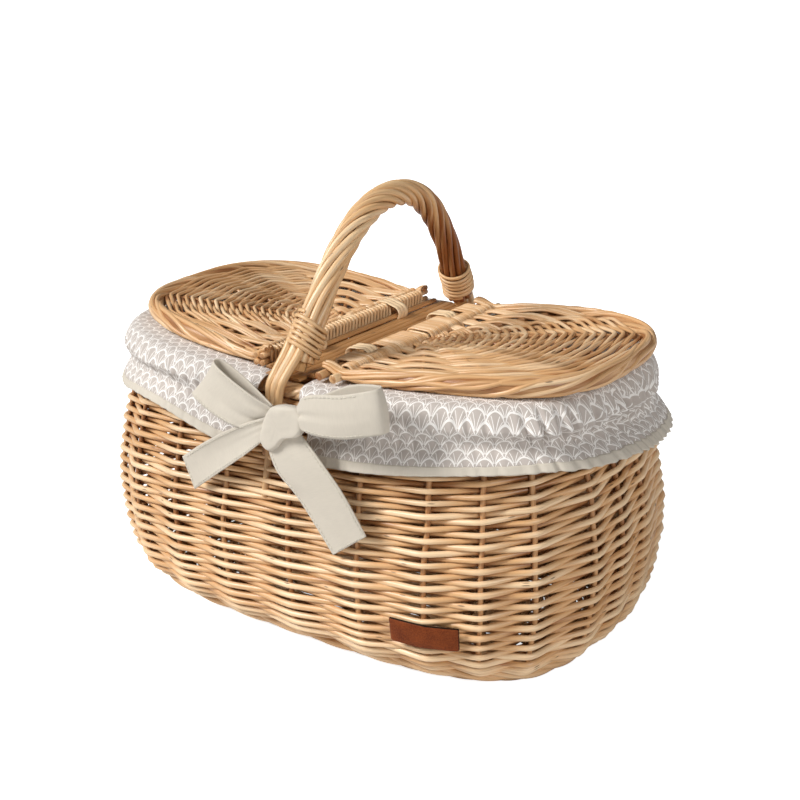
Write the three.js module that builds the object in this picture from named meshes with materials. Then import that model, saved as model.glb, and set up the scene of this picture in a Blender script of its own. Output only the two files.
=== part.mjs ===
// Oval willow picnic basket with two hinged lids, a roped bow handle and a tied cloth valance.
// Millimetres, +Z up, origin on the underside of the base, +X along the length, -Y towards the bow.
import * as THREE from 'three';

// Driving sizes of the basket
const CLEAR = 0.3;
const RIM_HALF_LENGTH = 206;
const RIM_HALF_WIDTH = 126;
const RIM_SQUARENESS = 3.2;
const WALL_THICKNESS = 11;
const WALL_TOP = 201;
const BULGE = 23;
const BULGE_HEIGHT = 88;
const SHOULDER = 16;
const UPSETT = 12;
const UPSETT_HEIGHT = 26;
const FOOT_INSET = 19;
const BASE_THICKNESS = 10;
const WALE_HEIGHT = 13;
const WALE_WIDTH = 15;
const BORDER_HEIGHT = 12.4;
const BORDER_OVERHANG = 2;
const BORDER_WIDTH = 14;
const EDGE_ROUND = 2;
const BORDER_ROUND = 3;

// Weave of the wall: stakes closer together at the ends, and rods that pass in front of and behind them
const STAKES = 26;
const STAKE_CROWDING = 0.34;
const FIRST_STAKE = 0.26;
const ROD_PITCH = 5.3;
const FIRST_ROD = 19;
const WALL_RELIEF = 4.3;

// Cloth valance over the border
const CLOTH_THICKNESS = 2;
const CLOTH_EASE = 1;
const SKIRT_DROP = 50;
const GATHER_DROP = 25;
const TURN_IN = 20;
const PUFF = 9;
const FLARE = 3;
const FOLD_DEPTH = 2.6;
const FOLDS_PER_HALF = 10;
const HEM_HEIGHT = 9;
const SLIT_HALF_WIDTH = 18;
const SLIT_SPREAD = 26;

// Bridge across the rim, which both lids hinge on
const BRIDGE_ROD_RADIUS = 4.5;
const LEFT_BRIDGE_PLACE = 24;
const RIGHT_BRIDGE_PLACE = 15.5;
const LATH_THICKNESS = 3;
const LATH_PLAY = 0.6;
const BRIDGE_SHORTFALL = 6;

// Lids
const LID_END_OVERHANG = 11;
const LID_SIDE_INSET = 14;
const LID_SQUARENESS = 3.2;
const LID_BORDER_RADIUS = 5.8;
const LID_WEAVE_THICKNESS = 8.5;
const RIGHT_ROD_RADIUS = 4.8;
const RIGHT_ROD_REACH = 5;
const LEFT_ROD_RADIUS = 2.75;
const LOOP_THICKNESS = 2.2;
const LOOP_WIDTH = 14;
const LOOP_PLACE = 56;
const HINGE_PLAY = 0.5;
const LID_PLAY = 0.4;
const LID_WEAVE_LIFT = 1;
const LID_ROWS = 24;
const LID_STICKS = 7;
const LID_CORE = 44;
const LID_RELIEF = 2.1;
const LID_DOME = 8;
const LID_END_RISE = 4;
const LID_BORDER_SWELL = 0.4;

// Handle
const HANDLE_RISE = 116;
const HANDLE_SIDE = 3;
const HANDLE_LEAN = 7;
const COLLAR_INSET = 23;
const COLLAR_RISE = 26;
const ARCH_POWER = 2.3;
const CORE_RADIUS = 6;
const ROPE_RADIUS = 9.8;
const ROPE_LOBE = 0.9;
const ROPE_PLAY = 0.5;
const ROPE_STRANDS = 8;
const ROPE_TURNS = 1.1;
const ROPE_FOOT_RISE = 14;
const FOOT_ROD_RADIUS = 3.2;
const FOOT_ROD_SPACING = 7;
const FOOT_ROD_EASE = 0.5;
const FOOT_ROD_BEND = 5;
const FOOT_ROD_RUN = 8;
const FOOT_ROD_DROP = 56;
const MIDDLE_ROD_DROP = 86;
const WINDING_RADIUS = 1.8;
const WINDING_PITCH = 4.9;
const WINDING_LOOPS = 6;
const WINDING_PLAY = 0.8;

// Bow and patch
const RIBBON_WIDTH = 34;
const RIBBON_THICKNESS = 2;
const KNOT_DROP = 24;
const KNOT_SIDE = 15;
const KNOT_DEPTH = 26;
const KNOT_WIDTH = 36;
const KNOT_HEIGHT = 34;
const LOOP_LENGTH_LEFT = 68;
const LOOP_LENGTH_RIGHT = 100;
const LOOP_FULLNESS = 15;
const LOOP_LIFT = 6;
const TAIL_RIPPLE = 1.5;
const TAIL_LENGTH_LEFT = 99;
const TAIL_LENGTH_RIGHT = 98;
const PATCH_WIDTH = 48;
const PATCH_HEIGHT = 19.5;
const PATCH_THICKNESS = 2.5;
const PATCH_ALONG = 125;
const PATCH_LEVEL = 51.5;
const PATCH_PLAY = 0.8;

// Facets
const OVAL_SAMPLES = 1440;
const AROUND = 2 * STAKES;
const WALL_STEPS = 4;
const LID_STEPS = 32;
const ROPE_STEPS = 26;
const CORE_STEPS = 36;
const FOLD_STEPS = 4;
const LOOP_STEPS = 14;
const BAND_SIDES = 14;
const FOOT_ROD_STEPS = 14;
const FOOT_ROD_SIDES = 7;

// Sizes and heights that follow from the ones above
const lidHalfLength = RIM_HALF_LENGTH + LID_END_OVERHANG;
const lidHalfWidth = RIM_HALF_WIDTH - LID_SIDE_INSET;
const borderBottom = WALL_TOP + CLEAR;
const borderTop = borderBottom + BORDER_HEIGHT;
const clothTop = borderTop + CLEAR + CLOTH_THICKNESS;
const axisHeight = clothTop + CLEAR + BRIDGE_ROD_RADIUS;
const lidBottom = clothTop + LID_PLAY;
const borderInside = BORDER_OVERHANG - BORDER_WIDTH;
const lathTop = borderTop + CLEAR + LATH_THICKNESS;
const handleApex = lathTop + HANDLE_RISE;
const collarPlace = RIM_HALF_WIDTH - COLLAR_INSET;
const collarLevel = lathTop + COLLAR_RISE;
const ropeFoot = lathTop + ROPE_FOOT_RISE;
const footRodEnd = borderTop - FOOT_ROD_DROP;
const middleRodEnd = borderTop - MIDDLE_ROD_DROP;
const knotLevel = borderTop - KNOT_DROP;

// Finishes
const finish = (color, roughness) => new THREE.MeshStandardMaterial({ color, roughness, metalness: 0 });
const WILLOW = finish(0xbe946e, 0.55);
const WILLOW_DARK = finish(0x99723f, 0.6);
const WILLOW_PALE = finish(0xd8b692, 0.5);
const PRINT = finish(0xc8beb6, 0.9);
const SAGE = finish(0xc7bcad, 0.9);
const LEATHER = finish(0x6d3c25, 0.6);

const group = new THREE.Group();

function addPart(name, geometry, material) {
  const mesh = new THREE.Mesh(geometry, material);
  mesh.name = name;
  group.add(mesh);
}

const vec = (x, y, z) => new THREE.Vector3(x, y, z);

// Superellipse walked by its length: place and outward normal at s mm from the front middle, towards +X
class Oval {
  constructor(halfLength, halfWidth, squareness) {
    this.axes = new THREE.Vector2(halfLength, halfWidth);
    this.power = squareness;
    this.points = [];
    this.lengths = [0];
    for (let i = 0; i <= OVAL_SAMPLES; i += 1) {
      const angle = (2 * Math.PI * i) / OVAL_SAMPLES;
      const bend = (v) => Math.sign(v) * Math.abs(v) ** (2 / squareness);
      const x = halfLength * bend(Math.sin(angle));
      const y = -halfWidth * bend(Math.cos(angle));
      this.points.push(new THREE.Vector2(x, y));
      if (i > 0) this.lengths.push(this.lengths[i - 1] + this.points[i].distanceTo(this.points[i - 1]));
    }
    this.length = this.lengths[OVAL_SAMPLES];
  }

  at(s, offset, z) {
    const along = THREE.MathUtils.euclideanModulo(s, this.length);
    let i = this.lengths.findIndex((value) => value > along) - 1;
    i = Math.max(0, i);
    const share = (along - this.lengths[i]) / (this.lengths[i + 1] - this.lengths[i]);
    const p = this.points[i].clone().lerp(this.points[i + 1], share);
    const slope = (v, axis) => (Math.sign(v) * Math.abs(v / axis) ** (this.power - 1)) / axis;
    const normal = new THREE.Vector2(slope(p.x, this.axes.x), slope(p.y, this.axes.y)).normalize();
    return vec(p.x + normal.x * offset, p.y + normal.y * offset, z);
  }
}

const rim = new Oval(RIM_HALF_LENGTH, RIM_HALF_WIDTH, RIM_SQUARENESS);
const lidOval = new Oval(lidHalfLength, lidHalfWidth, LID_SQUARENESS);

// Closed solid through sections of equal point counts, looped round or capped at both ends
function solidThrough(sections, looped, capOutline) {
  const count = sections[0].length;
  const rows = looped ? sections.length : sections.length - 1;
  const index = [];
  for (let i = 0; i < rows; i += 1) {
    for (let j = 0; j < count; j += 1) {
      const a = i * count + j;
      const b = i * count + ((j + 1) % count);
      const next = ((i + 1) % sections.length) * count;
      const c = next + j;
      const d = next + ((j + 1) % count);
      index.push(a, b, d, a, d, c);
    }
  }
  if (!looped) {
    const last = (sections.length - 1) * count;
    const triangles = THREE.ShapeUtils.triangulateShape(capOutline, []);
    const areaOf = (corners) => THREE.ShapeUtils.area(corners.map((k) => capOutline[k]));
    const covered = triangles.reduce((sum, corners) => sum + areaOf(corners), 0);
    const alike = covered > 0 === THREE.ShapeUtils.area(capOutline) > 0;
    for (const [a, b, c] of triangles) {
      const [p, q] = alike ? [b, c] : [c, b];
      index.push(a, q, p, last + a, last + p, last + q);
    }
  }
  const points = sections.flat();
  let volume = 0;
  for (let i = 0; i < index.length; i += 3) {
    const [a, b, c] = [points[index[i]], points[index[i + 1]], points[index[i + 2]]];
    volume += a.dot(b.clone().cross(c));
  }
  if (volume < 0) index.reverse();
  const geometry = new THREE.BufferGeometry();
  geometry.setAttribute('position', new THREE.Float32BufferAttribute(points.flatMap((p) => p.toArray()), 3));
  geometry.setIndex(index);
  return geometry;
}

const flatCircle = (sides) =>
  Array.from({ length: sides }, (_, j) => {
    const angle = (2 * Math.PI * j) / sides;
    return new THREE.Vector2(Math.cos(angle), Math.sin(angle));
  });

// Tube along points, each with its own pair of section directions
function tube(stations, radius, sides) {
  const circle = flatCircle(sides);
  const sections = stations.map(({ place, across, over }) => circle.map((c) => {
    const out = across.clone().multiplyScalar(c.x).addScaledVector(over, c.y);
    return place.clone().addScaledVector(out, radius);
  }));
  return solidThrough(sections, false, circle);
}

// Stations along a curve that stays in a plane square to the X axis
function stationsInPlane(curve, steps) {
  return curve.getSpacedPoints(steps).map((place, i) => {
    const tangent = curve.getTangentAt(i / steps);
    const across = vec(1, 0, 0);
    return { place, across, over: tangent.clone().cross(across) };
  });
}

// Length round the rim at a stake number, halves between two stakes: stakes crowd towards both ends
function stakePlace(number) {
  const turn = (number + FIRST_STAKE) / STAKES;
  return rim.length * (turn + (STAKE_CROWDING * Math.sin(4 * Math.PI * turn)) / (4 * Math.PI));
}

// Ring of closed profiles of [offset, height] pairs round the rim, the even ones at the stakes
function rimRing(profileAt) {
  const sections = Array.from({ length: AROUND }, (_, i) =>
    profileAt(i).map(([offset, z]) => rim.at(stakePlace(i / 2), offset, z)));
  return solidThrough(sections, true);
}

function rod(radius, x, z, halfLength) {
  const geometry = new THREE.CylinderGeometry(radius, radius, 2 * halfLength, 12);
  return geometry.translate(x, 0, z);
}

// Wall outline: drawn in at the foot, fullest low down, drawn in again to the border
const wallCurve = new THREE.SplineCurve([
  new THREE.Vector2(-FOOT_INSET, CLEAR),
  new THREE.Vector2(UPSETT, UPSETT_HEIGHT),
  new THREE.Vector2(BULGE, BULGE_HEIGHT),
  new THREE.Vector2(SHOULDER, (BULGE_HEIGHT + WALL_TOP) / 2),
  new THREE.Vector2(0, WALL_TOP),
]);
const wallSamples = wallCurve.getSpacedPoints(OVAL_SAMPLES);

function wallOffset(z) {
  return wallSamples.find((p) => p.y >= Math.min(z, WALL_TOP - 0.01)).x;
}

// Section of the wall at a stake, where every second rod passes in front, or half-way to the next stake
function wallProfile(column) {
  const bottom = WALE_HEIGHT + CLEAR;
  const crossings = Math.floor((wallCurve.getLength() - FIRST_ROD) / ROD_PITCH);
  const outer = [[wallOffset(bottom) - WALL_RELIEF, bottom]];
  for (let row = 0; row < crossings; row += 1) {
    const { x, y } = wallCurve.getPointAt((FIRST_ROD + row * ROD_PITCH) / wallCurve.getLength());
    const inFront = column % 2 === 0 && row % 2 === 1;
    if (y > bottom + CLEAR) outer.push([inFront ? x : x - WALL_RELIEF, y]);
  }
  outer.push([-WALL_RELIEF, WALL_TOP]);
  const inner = [];
  for (let i = WALL_STEPS; i >= 0; i -= 1) {
    const z = THREE.MathUtils.lerp(bottom, WALL_TOP, i / WALL_STEPS);
    inner.push([wallOffset(z) - WALL_THICKNESS, z]);
  }
  return [...outer, ...inner];
}

function buildBody() {
  const baseEdge = -FOOT_INSET - WALE_WIDTH - CLEAR;
  const plate = [
    [baseEdge - EDGE_ROUND, 0], [baseEdge, EDGE_ROUND],
    [baseEdge, BASE_THICKNESS - EDGE_ROUND], [baseEdge - EDGE_ROUND, BASE_THICKNESS],
  ];
  const plateSections = plate.map(([offset, z]) =>
    Array.from({ length: AROUND }, (_, i) => rim.at(stakePlace(i / 2), offset, z)));
  addPart('base_weave', solidThrough(plateSections, false, plateSections[0]), WILLOW);

  const waleOut = wallOffset(WALE_HEIGHT);
  const waleIn = baseEdge + CLEAR;
  addPart('bottom_wale', rimRing(() => [
    [waleIn, 0], [-FOOT_INSET, 0], [(waleOut - FOOT_INSET) / 2 + EDGE_ROUND, WALE_HEIGHT / 3],
    [waleOut, WALE_HEIGHT], [waleIn, WALE_HEIGHT],
  ]), WILLOW);

  addPart('wall_weave', rimRing(wallProfile), WILLOW);

  const round = BORDER_ROUND;
  addPart('top_border', rimRing(() => [
    [BORDER_OVERHANG - round, borderBottom], [BORDER_OVERHANG, borderBottom + round],
    [BORDER_OVERHANG, borderTop - round], [BORDER_OVERHANG - round, borderTop],
    [borderInside + round, borderTop], [borderInside, borderTop - round],
    [borderInside, borderBottom + round], [borderInside + round, borderBottom],
  ]), WILLOW);
}

// Middle line of the cloth from its hem over the border to the turned-in edge: [offset, height, fold share]
function clothLine() {
  const hem = borderTop - SKIRT_DROP;
  const gather = borderTop - GATHER_DROP;
  const half = CLOTH_THICKNESS / 2;
  const skin = half + CLEAR;
  const lowest = wallOffset(hem) + skin + FOLD_DEPTH;
  return [
    [lowest + FLARE / 2, hem + HEM_HEIGHT + CLEAR, 1],
    [(lowest + wallOffset(gather)) / 2 + skin + CLOTH_EASE, (hem + gather) / 2 + HEM_HEIGHT / 2, 0.7],
    [wallOffset(gather) + skin + 1.6 * CLOTH_EASE, gather, 0.3],
    [BORDER_OVERHANG + PUFF, (gather + borderTop) / 2, 0.7],
    [BORDER_OVERHANG + skin + 1.5 * CLOTH_EASE, borderTop - CLOTH_EASE, 0],
    [BORDER_OVERHANG - CLOTH_EASE, borderTop + skin, 0],
    [borderInside + CLOTH_EASE, borderTop + skin, 0],
    [borderInside - skin - CLOTH_EASE, borderTop - 2 * CLOTH_EASE, 0],
    [borderInside - skin - CLOTH_EASE, borderTop - TURN_IN, 0],
  ];
}

// Cloth strip over part of a line, with soft folds that run down it
function clothStrip(line, side) {
  const steps = FOLDS_PER_HALF * FOLD_STEPS;
  const middle = line.map(([offset, z]) => new THREE.Vector2(offset, z));
  const normals = middle.map((p, k) => {
    const before = middle[Math.max(0, k - 1)];
    const after = middle[Math.min(middle.length - 1, k + 1)];
    const along = after.clone().sub(before).normalize();
    return new THREE.Vector2(along.y, -along.x);
  });
  const half = CLOTH_THICKNESS / 2;
  const face = (sign) => middle.map((p, k) => p.clone().addScaledVector(normals[k], sign * half));
  const outline = [...face(1), ...face(-1).reverse()];
  const shares = [...line.map((row) => row[2]), ...line.map((row) => row[2]).reverse()];
  const sections = [];
  for (let i = 0; i <= steps; i += 1) {
    const u = i / steps;
    const wave = Math.cos(2 * Math.PI * FOLDS_PER_HALF * u) + 0.4 * Math.sin(2 * Math.PI * 7 * u);
    sections.push(outline.map((p, k) => {
      const spread = side > 0 ? SLIT_SPREAD * Math.max(0, (borderTop - p.y) / SKIRT_DROP) : 0;
      const outside = p.x > borderInside / 2 ? 1 : 0;
      const from = SLIT_HALF_WIDTH + spread * outside;
      const to = rim.length / 2 - SLIT_HALF_WIDTH;
      return rim.at(side * THREE.MathUtils.lerp(from, to, u), p.x + FOLD_DEPTH * 0.7 * shares[k] * wave, p.y);
    }));
  }
  return solidThrough(sections, false, outline);
}

function buildValance() {
  const line = clothLine();
  const [lowOffset, lowLevel] = line[0];
  const hemLine = [
    [lowOffset + FLARE / 2, lowLevel - HEM_HEIGHT - CLEAR, 1],
    [lowOffset, lowLevel - 2 * CLEAR, 1],
  ];
  for (const [label, side] of [['left', -1], ['right', 1]]) {
    addPart(`valance_${label}`, clothStrip(line, side), PRINT);
    addPart(`hem_band_${label}`, clothStrip(hemLine, side), SAGE);
  }
}

function buildBridge() {
  const reach = RIM_HALF_WIDTH - BRIDGE_SHORTFALL;
  addPart('bridge_rod_left', rod(BRIDGE_ROD_RADIUS, -LEFT_BRIDGE_PLACE, axisHeight, reach), WILLOW_DARK);
  addPart('bridge_rod_right', rod(BRIDGE_ROD_RADIUS, RIGHT_BRIDGE_PLACE, axisHeight, reach), WILLOW_DARK);
  const loopReach = BRIDGE_ROD_RADIUS + LOOP_THICKNESS + LATH_PLAY;
  const lathEdge = (place) => Math.min(place - loopReach, SLIT_HALF_WIDTH) - LATH_PLAY;
  const left = -lathEdge(LEFT_BRIDGE_PLACE);
  const right = lathEdge(RIGHT_BRIDGE_PLACE);
  const shape = new THREE.Shape([
    new THREE.Vector2(left, -reach), new THREE.Vector2(right, -reach),
    new THREE.Vector2(right, reach), new THREE.Vector2(left, reach),
  ]);
  const lath = new THREE.ExtrudeGeometry(shape, { depth: LATH_THICKNESS, bevelEnabled: false });
  addPart('bridge_lath', lath.translate(0, 0, borderTop + CLEAR), WILLOW_DARK);
}

// Bow of the handle: a flattened arch whose ends stand on the bridge, leaning to the right lid
const archHeight = (y) =>
  handleApex - (handleApex - collarLevel) * Math.abs(y / collarPlace) ** ARCH_POWER;
const archPlace = (z) =>
  collarPlace * ((handleApex - z) / (handleApex - collarLevel)) ** (1 / ARCH_POWER);

function handleCurve() {
  const foot = archPlace(lathTop + CLEAR + CORE_RADIUS / 2);
  const points = [-1, -0.9, -0.75, -0.55, -0.3, 0, 0.3, 0.55, 0.75, 0.9, 1].map((share) => {
    const z = archHeight(share * foot);
    const lean = (HANDLE_LEAN * (z - lathTop)) / (handleApex - lathTop);
    return vec(HANDLE_SIDE + lean, share * foot, z);
  });
  return new THREE.CatmullRomCurve3(points, false, 'centripetal');
}

// Share of the handle curve's length at which its front leg passes a height
function shareAtHeight(curve, z) {
  const points = curve.getSpacedPoints(OVAL_SAMPLES);
  return points.findIndex((p) => p.z >= z) / OVAL_SAMPLES;
}

function buildHandle() {
  const curve = handleCurve();
  addPart('handle_core', tube(stationsInPlane(curve, CORE_STEPS), CORE_RADIUS, 8), WILLOW);

  const start = shareAtHeight(curve, ropeFoot);
  const sides = ROPE_STRANDS * 2;
  const circle = flatCircle(sides);
  const outer = [];
  const inner = [];
  for (let i = 0; i <= ROPE_STEPS; i += 1) {
    const share = THREE.MathUtils.lerp(start, 1 - start, i / ROPE_STEPS);
    const place = curve.getPointAt(share);
    const across = vec(1, 0, 0);
    const over = curve.getTangentAt(share).cross(across);
    const twist = (2 * Math.PI * ROPE_TURNS * i) / ROPE_STEPS;
    const ring = (radiusAt) => circle.map((c, j) => {
      const angle = (2 * Math.PI * j) / sides + twist;
      const radius = radiusAt(j);
      const out = across.clone().multiplyScalar(Math.cos(angle)).addScaledVector(over, Math.sin(angle));
      return place.clone().addScaledVector(out, radius);
    });
    outer.push(ring((j) => ROPE_RADIUS + ROPE_LOBE * Math.cos((2 * Math.PI * ROPE_STRANDS * j) / sides)));
    inner.push(ring(() => CORE_RADIUS + ROPE_PLAY));
  }
  addPart('handle_rope', solidThrough([...outer, ...inner.reverse()], true), WILLOW_PALE);

  for (const [label, side] of [['front', -1], ['back', 1]]) {
    buildFoot(label, side);
    buildWinding(label, side, curve, start);
  }
}

// How far from the middle a handle strand lies at a height of the wall
const footRodPlace = (z) => RIM_HALF_WIDTH + wallOffset(z) + FOOT_ROD_RADIUS + 3 * CLEAR;

// Three handle strands that go over the border and down the outside of the wall
function buildFoot(label, side) {
  const borderFace = RIM_HALF_WIDTH + BORDER_OVERHANG;
  const reach = FOOT_ROD_RADIUS + CLEAR;
  const core = archPlace(ropeFoot);
  const coreReach = CORE_RADIUS + reach + 3 * FOOT_ROD_EASE;
  for (const slot of [-1, 0, 1]) {
    const x = HANDLE_SIDE + slot * FOOT_ROD_SPACING;
    const first = core + Math.sqrt(coreReach ** 2 - (slot * FOOT_ROD_SPACING) ** 2);
    const end = slot === 0 ? middleRodEnd : footRodEnd;
    const route = [
      [first, ropeFoot - FOOT_ROD_RADIUS],
      [borderFace - FOOT_ROD_EASE, lathTop + reach + 4 * FOOT_ROD_EASE],
      [borderFace + reach + FOOT_ROD_EASE, borderTop + FOOT_ROD_BEND / 2],
      [borderFace + reach + FOOT_ROD_EASE, borderBottom + FOOT_ROD_BEND],
      [borderFace + reach + 1.5 * FOOT_ROD_EASE, borderBottom - FOOT_ROD_BEND],
      [footRodPlace(knotLevel), knotLevel],
      [footRodPlace(footRodEnd), footRodEnd + FOOT_ROD_RUN],
      [footRodPlace(end), end],
    ];
    const points = route.map(([y, z]) => vec(x, side * y, z));
    const curve = new THREE.CatmullRomCurve3(points, false, 'centripetal');
    const strand = tube(stationsInPlane(curve, FOOT_ROD_STEPS), FOOT_ROD_RADIUS, FOOT_ROD_SIDES);
    addPart(`handle_foot_${label}_${slot + 2}`, strand, WILLOW_PALE);
  }
}

// Willow skein wound round the rope's end in one unbroken helix
function buildWinding(label, side, curve, start) {
  const across = vec(1, 0, 0);
  const radius = ROPE_RADIUS + ROPE_LOBE + WINDING_PLAY + WINDING_RADIUS;
  const total = WINDING_LOOPS * LOOP_STEPS;
  const curveLength = curve.getLength();
  const stations = [];
  for (let i = 0; i <= total; i += 1) {
    const rise = WINDING_RADIUS + CLEAR + (WINDING_PITCH * i) / LOOP_STEPS;
    const share = start + rise / curveLength;
    const along = side < 0 ? share : 1 - share;
    const axis = curve.getTangentAt(along);
    const over = axis.clone().cross(across);
    const angle = (2 * Math.PI * i) / LOOP_STEPS;
    const out = across.clone().multiplyScalar(Math.cos(angle)).addScaledVector(over, Math.sin(angle));
    const place = curve.getPointAt(along).addScaledVector(out, radius);
    stations.push({ place, across: out, over: axis });
  }
  let least = Infinity;
  for (let i = 0; i < stations.length; i += 1) {
    for (let j = i + LOOP_STEPS / 2; j < stations.length; j += 1) {
      least = Math.min(least, stations[i].place.distanceTo(stations[j].place) - 2 * WINDING_RADIUS);
    }
  }
  console.log(`${label} winding: least gap to itself ${least.toFixed(2)} mm`);
  addPart(`handle_binding_${label}`, tube(stations, WINDING_RADIUS, 6), WILLOW_PALE);
}

// Convex outline round a set of circles, used for the skein loops of the hinges
function bandOutline(circles, grow) {
  const points = circles.flatMap(({ x, z, radius }) => {
    const middle = new THREE.Vector2(x, z);
    return flatCircle(BAND_SIDES).map((c) => c.multiplyScalar(radius + grow).add(middle));
  });
  points.sort((p, q) => p.x - q.x || p.y - q.y);
  const chain = (list) => {
    const hull = [];
    for (const p of list) {
      while (hull.length > 1) {
        const a = hull[hull.length - 2];
        const b = hull[hull.length - 1];
        if ((b.x - a.x) * (p.y - a.y) - (b.y - a.y) * (p.x - a.x) > 1e-6) break;
        hull.pop();
      }
      hull.push(p);
    }
    return hull.slice(0, -1);
  };
  return [...chain(points), ...chain([...points].reverse())];
}

// Flat skein loop round a bridge rod and the lid's hinge rods
function hingeLoop(circles, y) {
  const play = CLEAR * 1.5;
  const shape = new THREE.Shape(bandOutline(circles, play + LOOP_THICKNESS));
  shape.holes.push(new THREE.Path(bandOutline(circles, play)));
  const geometry = new THREE.ExtrudeGeometry(shape, { depth: LOOP_WIDTH, bevelEnabled: false });
  geometry.rotateX(Math.PI / 2);
  return geometry.translate(0, y + LOOP_WIDTH / 2, 0);
}

// One lid: hinge rods, woven panel, border round its free edge and two hinge loops
function buildLid(label, side, bridgePlace, rods, looped, rodReach) {
  const bridge = { x: side * bridgePlace, z: axisHeight, radius: BRIDGE_ROD_RADIUS };
  const heldRods = rods.slice(0, looped);
  rods.forEach(({ x, z, radius }, k) => {
    addPart(`lid_${label}_hinge_rod_${k + 1}`, rod(radius, x, z, lidHalfWidth + rodReach), WILLOW_PALE);
  });
  for (const [place, y] of [['front', -LOOP_PLACE], ['back', LOOP_PLACE]]) {
    addPart(`lid_${label}_hinge_loop_${place}`, hingeLoop([bridge, ...heldRods], y), WILLOW_PALE);
  }
  const outerEdge = (list) => Math.max(...list.map((r) => Math.abs(r.x) + r.radius));
  const loopEdge = outerEdge(heldRods) + LOOP_THICKNESS + 2 * HINGE_PLAY;
  const inside = Math.max(outerEdge(rods), loopEdge) + CLEAR;

  const borderPath = lidArc(side, inside, -LID_BORDER_RADIUS, LID_STEPS);
  const stations = borderPath.map(({ place, out }) => {
    const bow = domeShare(place.x, inside);
    const tall = 1 + LID_BORDER_SWELL * bow;
    const level = lidBottom + LID_BORDER_RADIUS * tall + LID_END_RISE * bow;
    return { place: vec(place.x, place.y, level), across: out, over: vec(0, 0, tall) };
  });
  addPart(`lid_${label}_border`, tube(stations, LID_BORDER_RADIUS, 8), WILLOW);

  addPart(`lid_${label}_weave`, wovenPanel(side, inside), WILLOW);
}

// How far a lid has risen at a place, from 0 at the hinge to 1 at its end
function domeShare(x, inside) {
  const share = THREE.MathUtils.clamp((Math.abs(x) - inside) / (lidHalfLength - inside), 0, 1);
  return Math.sin((Math.PI / 2) * share);
}

// Woven panel of a lid: rows that spread from the hinge to the free edge, over and under the sticks
function wovenPanel(side, inside) {
  const steps = 2 * (LID_STICKS + 1);
  const edge = lidArc(side, inside, -2 * LID_BORDER_RADIUS - CLEAR, steps);
  const bottom = lidBottom + LID_WEAVE_LIFT;
  const crown = bottom + LID_WEAVE_THICKNESS - LID_RELIEF;
  const sections = edge.map(({ place }, i) => {
    const core = vec(side * inside, LID_CORE * ((2 * i) / steps - 1), 0);
    const at = (share, z) => {
      const p = core.clone().lerp(place, share);
      return p.setZ(z + LID_DOME * domeShare(p.x, inside));
    };
    const top = Array.from({ length: LID_ROWS + 2 }, (_, row) => {
      const wave = Math.cos(Math.PI * (i / 2 + row));
      return at(row / (LID_ROWS + 1), crown + LID_RELIEF * wave);
    });
    return [...top, at(1, bottom), at(0, bottom)];
  });
  const plan = sections[0].map((p) => new THREE.Vector2(p.y, p.z));
  return solidThrough(sections, false, plan);
}

// Free edge of a lid from its front hinge corner round the end to the back one, at an offset
function lidArc(side, inside, offset, steps) {
  const quarter = lidOval.length / 4;
  let low = 0;
  let high = quarter;
  for (let i = 0; i < 40; i += 1) {
    const middle = (low + high) / 2;
    if (lidOval.at(middle, offset, 0).x < inside) low = middle;
    else high = middle;
  }
  const points = [];
  for (let i = 0; i <= steps; i += 1) {
    const s = side * THREE.MathUtils.lerp(low, 2 * quarter - low, i / steps);
    const place = lidOval.at(s, offset, 0);
    const out = lidOval.at(s, offset + 1, 0).sub(place);
    points.push({ place, out });
  }
  return points;
}

function buildLids() {
  const rightFirst = RIGHT_BRIDGE_PLACE + BRIDGE_ROD_RADIUS + HINGE_PLAY + RIGHT_ROD_RADIUS;
  const rightSecond = rightFirst + 2 * RIGHT_ROD_RADIUS + LOOP_THICKNESS + 3 * CLEAR;
  const rightLevel = lidBottom + RIGHT_ROD_RADIUS;
  const pair = [rightFirst, rightSecond].map((x) => ({ x, z: rightLevel, radius: RIGHT_ROD_RADIUS }));
  buildLid('right', 1, RIGHT_BRIDGE_PLACE, pair, 1, RIGHT_ROD_REACH);

  const leftFirst = LEFT_BRIDGE_PLACE + BRIDGE_ROD_RADIUS + HINGE_PLAY + LEFT_ROD_RADIUS;
  const step = 2 * LEFT_ROD_RADIUS + CLEAR;
  const bundle = [];
  for (const column of [0, 1]) {
    for (const row of [0, 1]) {
      const z = lidBottom + LEFT_ROD_RADIUS + row * step;
      bundle.push({ x: -leftFirst - column * step, z, radius: LEFT_ROD_RADIUS });
    }
  }
  buildLid('left', -1, LEFT_BRIDGE_PLACE, bundle, bundle.length, -LID_PLAY);
}

// Reach of the knot from its middle in a direction along the wall, at a distance in front of its middle
function knotReach(turn, lift) {
  const reach = 1 / Math.hypot(Math.cos(turn) / (KNOT_WIDTH / 2), Math.sin(turn) / (KNOT_HEIGHT / 2));
  return reach * Math.sqrt(1 - (lift / (KNOT_DEPTH / 2)) ** 2);
}

// Ribbon loop: a teardrop band that opens away from the knot, in a plane leaning along the wall
function bowLoop(length, turn) {
  const half = RIBBON_THICKNESS / 2;
  const tip = LOOP_FULLNESS / 2;
  const root = tip / 2;
  const circles = [{ x: root, z: 0, radius: root - half }, { x: length - tip, z: 0, radius: tip - half }];
  const shape = new THREE.Shape(bandOutline(circles, half));
  shape.holes.push(new THREE.Path(bandOutline(circles, -half)));
  const geometry = new THREE.ExtrudeGeometry(shape, { depth: RIBBON_WIDTH, bevelEnabled: false });
  geometry.translate(knotReach(turn, LOOP_LIFT - root / 2) + CLEAR, 0, -RIBBON_WIDTH / 2);
  return geometry.rotateY(-turn);
}

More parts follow.
